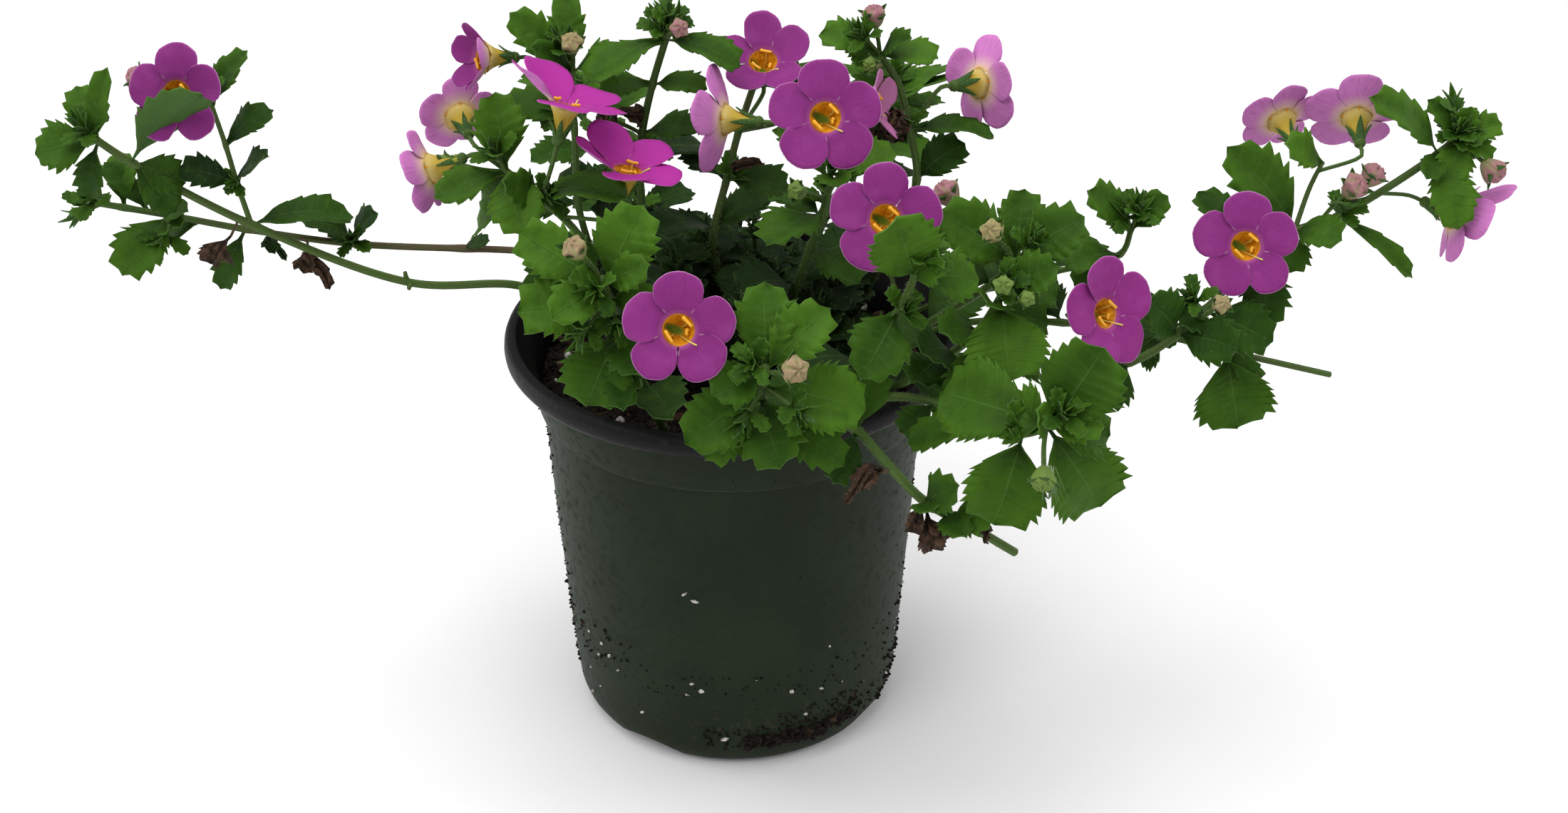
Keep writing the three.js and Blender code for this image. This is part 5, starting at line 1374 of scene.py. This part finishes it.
def make_pot():
    """The pot, green outside and black at its rim and inside."""
    piece = spun("pot_shell", POT_PROFILE, POT_SEGMENTS)
    for angle in NOTCH_ANGLES:
        for cutter in (
            cylinder(NOTCH_RADIUS, BASE_RADIUS + 3, angle, True, NOTCH_HEIGHT / NOTCH_RADIUS),
            cylinder(DRAIN_RADIUS, DRAIN_RING, angle, False),
        ):
            cut = piece.modifiers.new("cut", "BOOLEAN")
            cut.operation = "DIFFERENCE"
            cut.solver = "EXACT"
            cut.object = cutter
            bpy.context.view_layer.objects.active = piece
            bpy.ops.object.modifier_apply(modifier=cut.name)
            bpy.data.objects.remove(cutter)
    piece.data.materials.append(wall_finish())
    piece.data.materials.append(rim_finish())
    for face in piece.data.polygons:
        x, y, z = face.center / MM
        inside = z > 2 and math.hypot(x, y) < wall_radius(z) - 0.7
        face.material_index = 1 if inside or z > RIM_UNDER - 0.5 else 0
    alone(piece)
    bpy.ops.object.shade_smooth_by_angle(angle=math.radians(SMOOTH_ANGLE))
    settle(piece, ["pot"])


# The soil: lumpy potting mix with bark and perlite, and the crumbs of it stuck on the pot.
# Its side under the surface is (radius, height), and its waves are (length, height).

SOIL_SIDE = ((40.0, 7.0), (44.0, 40.0), (46.2, 70.0), (47.0, 86.0))
SOIL_ROWS = 52
SOIL_WAVES = ((13, 1.5), (5.2, 1.0), (2.1, 0.6))


def lump(parts, centre, size, rng, finish, flat=0.6, chip=False):
    """A rough grain, or a chip with flatter sides."""
    points, faces = ball(6, 4) if size.max() < 0.8 else ball(9, 6)
    shape = points * (1 + rng.normal(0, 0.13, (len(points), 1)))
    if chip:
        shape = np.sign(shape) * np.abs(shape) ** 0.55
    shape = shape * size * (1, 1, flat)
    first, second, third = frame_along(rng.normal(0, 1, 3) + (0, 0, 2.0), (1, 0.2, 0.1))
    shape = shape @ np.array([first, second, third])
    parts.add(centre + shape, faces, finish, None, (0, rng.random(), 0))


def soil_height(x, y):
    """The level of the soil, with its lumps."""
    r = np.hypot(x, y)
    level = SOIL_TOP + 1 - 2.2 * (r / SOIL_RADIUS) ** 2
    for size, high in SOIL_WAVES:
        east, north = x / size, y / size
        level = level + high * np.sin(east + 1.7 * np.sin(north)) * np.sin(north + 1.3 * np.sin(east + 2))
    return level


def on_soil(r, angle, above):
    """A place above the soil, at a distance from its middle."""
    x, y = r * math.cos(angle), r * math.sin(angle)
    return x, y, soil_height(x, y) + above


def on_wall(angle, z, out=0):
    """A place on the outside of the pot."""
    r = wall_radius(z) + out
    return r * math.cos(angle), r * math.sin(angle), z


def make_soil():
    """The potting mix, with loose lumps, chips of bark and grains of perlite."""
    rng = np.random.default_rng(SOIL_SEED)
    parts = Parts()
    turn = ring(SOIL_SEGMENTS)
    under, depths = zip(*SOIL_SIDE)
    radii = np.concatenate([under, np.linspace(SOIL_RADIUS, 0.9, SOIL_ROWS)])
    rings = []
    for index, r in enumerate(radii):
        x, y = r * np.cos(turn), r * np.sin(turn)
        if index < len(depths):
            z = np.full(SOIL_SEGMENTS, depths[index])
        else:
            z = soil_height(x, y) + rng.normal(0, 0.14, SOIL_SEGMENTS)
        rings.append(np.stack([x, y, z], axis=1))
    wall = np.concatenate([*rings, [[0, 0, 6.8]], [[0, 0, SOIL_TOP + 1]]])
    parts.add(wall, pipe(len(radii), SOIL_SEGMENTS), 0)
    for _ in range(SOIL_LUMPS):
        place = on_soil(SOIL_RADIUS * math.sqrt(rng.random()), rng.uniform(0, 2 * np.pi), 0.2)
        lump(parts, place, rng.uniform(0.3, 1.3, 3), rng, 0)
    for _ in range(BARK_CHIPS):
        place = on_soil(SOIL_RADIUS * rng.uniform(0.2, 0.99) ** 0.5, rng.normal(-0.2, 1.1), 0.6)
        size = np.array([rng.uniform(1.2, 4.0), rng.uniform(0.7, 1.8), rng.uniform(0.4, 1.0)])
        lump(parts, place, size, rng, 1, 1.0, True)
    for _ in range(SOIL_PERLITE):
        place = on_soil(SOIL_RADIUS * rng.uniform(0.1, 0.98) ** 0.5, rng.uniform(0, 2 * np.pi), 0.4)
        lump(parts, place, rng.uniform(0.4, 1.5) * np.ones(3), rng, 2, 0.9)
    parts.piece("potting_mix", "soil", [soil_finish(), bark_finish(), perlite_finish()], ["soil"])


# Crumbs on the wall: (from angle, to angle, from height, to height, number, largest size).
# The larger grains of perlite on it: (angle, height, size).

CRUMBS = (
    (-180, 180, 3, 100, 260, 0.35),
    (-205, -120, 22, 36, 90, 0.9),
    (-120, -62, 22, 31, 70, 0.6),
    (-60, -10, 20, 34, 40, 0.7),
    (-178, -160, 8, 100, 120, 0.8),
    (-20, 12, 4, 92, 130, 0.8),
    (-100, -32, 6, 14, 210, 0.9),
    (-75, -40, 11, 18, 90, 0.8),
    (-86, -46, 7.5, 10.5, 200, 1.9),
    (-30, -2, 4, 18, 70, 1.1),
    (100, 170, 20, 34, 60, 0.8),
)
WALL_GRAINS = ((-104, 57, 0.9), (-101, 55, 1.1), (-100, 26, 1.0), (-93, 10, 1.1), (-105, 24, 0.7))


def make_crumbs():
    """Soil and perlite stuck on the pot's wall."""
    rng = np.random.default_rng(CRUMB_SEED)
    parts = Parts()
    for low, high, bottom, top, count, largest in CRUMBS:
        for _ in range(count):
            a = math.radians(rng.uniform(low, high))
            z = rng.uniform(bottom, top)
            size = largest * rng.uniform(0.25, 1, 3) * rng.uniform(0.4, 1)
            lump(parts, on_wall(a, z, 0.1 * size[0]), size, rng, 0)
    for _ in range(WALL_PERLITE):
        a, z = math.radians(rng.uniform(-180, 180)), rng.uniform(4, 36)
        lump(parts, on_wall(a, z), rng.uniform(0.25, 0.75) * np.ones(3), rng, 1)
    for a, z, size in WALL_GRAINS:
        lump(parts, on_wall(math.radians(a), z), size * np.array([1, 0.6, 0.6]), rng, 1)
    parts.piece("wall_crumbs", "soil", [soil_finish(), perlite_finish()])


# The shoots

def cad_points(name):
    """The corners of a CAD node, in millimetres."""
    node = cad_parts[name]
    world = np.array(node.matrix_world)
    points = np.array([v.co[:] for v in node.data.vertices])
    return (points @ world[:3, :3].T + world[:3, 3]) / MM


def fitted(base, tip, tilt, corners):
    """Where the solids have this leaf's tip."""
    first, second, _ = frame_along(tip - base, leaf_hint(tilt))
    for swing, lift in TURNS:
        end = base + turned(turned(tip - base, first, swing), second, -lift)
        if np.linalg.norm(corners - end, axis=1).min() < SAME_TIP:
            return end
    return tip


def make_shoot(name, shoot, rng, finishes, hair_finish):
    """One shoot with its leaves, buds, tufts, withered parts and flower stalks, and its hairs."""
    parts, fuzz = Parts(), Parts()
    corners = cad_points(name)
    curves = [Curve(points) for _, *points in shoot["stems"]]
    older = shoot.get("age", 0)

    def every(*words):
        """Each row of these lists, as its stem's curve, its place, its foot, its tip and the rest."""
        for index, place, *rest in (row for word in words for row in shoot.get(word, [])):
            rest = [np.array(v, float) if isinstance(v, list) else v for v in rest]
            yield curves[index], place, curves[index].joint(place), *rest

    for index, (radius, *points) in enumerate(shoot["stems"]):
        nodes = {round(place, 1) for stem_index, place, *_ in shoot["leaves"] if stem_index == index}
        hairs(fuzz, *stem(parts, points, radius, shoot.get("tint", STEM_TINT), nodes), rng)
    for index, place, tip, width, tilt in shoot["leaves"]:
        base, tip = curves[index].joint(place), np.array(tip, float)
        age = min(1, max(0, 1 - place / curves[index].last) + older + rng.normal(0, 0.08))
        if [name, *tip] == TURNED_LEAF:
            tilt = TURNED_LEAF_TILT
        else:
            tip = fitted(base, tip, tilt, corners)
        points = leaf(parts, base, tip, width, tilt, rng, age)
        edge_fuzz(fuzz, points, base, rng)
    for curve, place, base, tip, width, tilt in every("more_leaves"):
        leaf(parts, base, tip, width, tilt, rng, min(1, 1 - place / curve.last + 0.2 + older))
    for word, share in (("buds", BUD_SHARE), ("more_buds", 1)):
        for _, _, base, centre, length, tint in every(word):
            bud(parts, fuzz, base, centre, length * share, rng, tint)
    for _, _, base, tip, count in every("tufts", "more_tufts"):
        tuft(parts, fuzz, base, tip, count, rng)
    for word, finish in (("brown", DRY), ("faded", GREEN)):
        for _, _, base, tip, width in every(word):
            wilt(parts, base, tip, width, rng, finish)
    for _, _, base in every("stubs"):
        out = unit(rng.normal(0, 1, 3) + (0, 0, 1))
        points = [base, base + out * 1.5, base + out * 2.8 + (0.3, 0, 0.2)]
        stem(parts, points, 0.75, 0.3, sides=7, end=0.7)
    for owner, index, place, centre, facing, _, _ in BLOOMS:
        if owner == name:
            calyx(parts, fuzz, bloom_frame(centre, facing), curves[index].joint(place), rng)
    parts.piece(name + "_growth", "leaf_green", finishes, [name])
    fuzz.piece(name + "_hairs", "leaf_green", [hair_finish])


def edge_fuzz(fuzz, points, base, rng):
    """A few hairs round the edge and on the stalk of a leaf."""
    for point in points[rng.integers(0, len(points), EDGE_HAIRS)]:
        heading = unit(point - base + rng.normal(0, 3, 3)) + rng.normal(0, 0.5, 3)
        hair(fuzz, point, heading, rng.uniform(0.25, 0.6))


def make_inner(finishes, hair_finish):
    """Short leafy shoots deep in the plant, which fill it between the long ones."""
    rng = np.random.default_rng(INNER_SEED)
    parts, fuzz = Parts(), Parts()
    for number in range(INNER_SHOOTS):
        around = 2 * math.pi * (number + rng.uniform(-0.3, 0.3)) / INNER_SHOOTS * 2.4
        out = np.array([math.cos(around), math.sin(around), 0])
        reach = 5 + 27 * ((number * 0.37) % 1)
        root = out * reach + (0, 0, SOIL_TOP - 3)
        front_left = root[1] < -12 and root[0] < 6
        if front_left:  # where the soil shows between the long shoots
            continue
        high = rng.uniform(22, 38) - reach * 0.25
        top = root + out * rng.uniform(2, 9) + (0, 0, high)
        middle = (root + top) / 2 + rng.normal(0, 2, 3)
        curve = Curve([root, middle, top])
        hairs(fuzz, *stem(parts, [root, middle, top], 0.9, 0.3, INNER_PAIRS[:2]), rng, per_mm=2)
        for pair, place in enumerate(INNER_PAIRS):
            base = curve.joint(place)
            turn = around + pair * math.pi / 2 + rng.normal(0, 0.3)
            for hand in (0, math.pi):
                side = np.array([math.cos(turn + hand), math.sin(turn + hand), 0])
                size = rng.uniform(12, 17) * (1 - 0.12 * pair)
                tip = base + side * size * 0.85 + (0, 0, size * rng.uniform(0.0, 0.5))
                width, age = size * rng.uniform(0.72, 0.9), rng.uniform(0.75, 1.0)
                leaf(parts, base, tip, width, 0.15, rng, age, columns=5)
        tuft(parts, fuzz, curve.joint(2), top + (0, 0, 5), 4, rng, 0.8)
    parts.piece("inner_growth", "leaf_green", finishes)
    fuzz.piece("inner_hairs", "leaf_green", [hair_finish])


def make_blooms():
    """The petals and the tube of every bloom."""
    petals = petal_finish()
    yellow = [throat_finish(), plain_finish("anther", ANTHER, 0.5), plain_finish("style", STYLE, 0.45)]
    for number, (_, _, _, centre, facing, diameter, cup) in enumerate(BLOOMS, 1):
        rng = np.random.default_rng(BLOOM_SEED + number)
        at = bloom_frame(centre, facing)
        parts = Parts()
        limb(parts, at, diameter, cup, rng, LOBE_LIFTS.get(number, (0, 0, 0, 0, 0)), FADED_OR_LIT.get(number, 0))
        parts.piece(f"petals_{number:02d}", "petal_violet", [petals], [f"bloom_{number:02d}"])
        parts = Parts()
        throat(parts, at, rng)
        parts.piece(f"tube_{number:02d}", "throat_yellow", yellow, [f"throat_{number:02d}"])


# The studio: a plain pale floor and soft light

def aimed(name, data, place, aim):
    """A lamp or a camera at a place, pointed at another."""
    rig = new_object(name, data)
    x, y, z = np.array(aim, float) - np.array(place, float)
    rig.location = place
    rig.rotation_euler = math.atan2(math.hypot(x, y), -z), 0, math.atan2(-x, y)
    return rig


def make_studio():
    """The floor, the even light of the surroundings, and the lamps."""
    bpy.ops.mesh.primitive_plane_add(size=FLOOR_SIZE, location=(0, 0, -FLOOR_GAP))
    floor = alone()
    floor.name = "floor"
    floor.data.materials.append(plain_finish("paper", FLOOR_COLOUR, 0.9))
    floor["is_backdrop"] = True
    world = bpy.data.worlds.new("studio")
    world.use_nodes = True
    sky = world.node_tree.nodes["Background"].inputs
    sky["Color"].default_value = (1, 1, 1, 1)
    sky["Strength"].default_value = SKY_LIGHT
    bpy.context.scene.world = world
    for name, place, aim, size, power in LAMPS:
        lamp = bpy.data.lights.new(name, "AREA")
        lamp.shape = "SQUARE"
        lamp.size = size
        lamp.energy = power
        aimed(name, lamp, place, aim)


def make_camera():
    """The camera, where the photograph was taken from."""
    camera = bpy.data.cameras.new("camera")
    camera.sensor_width = 36
    camera.lens = CAMERA_LENS
    camera.clip_start = 0.01
    bpy.context.scene.camera = aimed("camera", camera, CAMERA_PLACE, CAMERA_AIM)
    bpy.context.scene.view_settings.view_transform = "Standard"


# Assembly

bpy.ops.object.select_all(action="DESELECT")
make_pot()
make_soil()
make_crumbs()
growth = [leaf_finish(), stem_finish(), bud_finish(), dry_finish()]
hair_colour = plain_finish("hair", HAIR_COLOUR, 0.6)
for number, (name, shoot) in enumerate(SHOOTS.items()):
    make_shoot(name, shoot, np.random.default_rng(SHOOT_SEED + number), growth, hair_colour)
make_inner(growth, hair_colour)
make_blooms()
make_studio()
make_camera()

boxes = {"cad": CAD_BOX, "scene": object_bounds()}
{word: [[float(v) for v in corner] for corner in box] for word, box in boxes.items()}
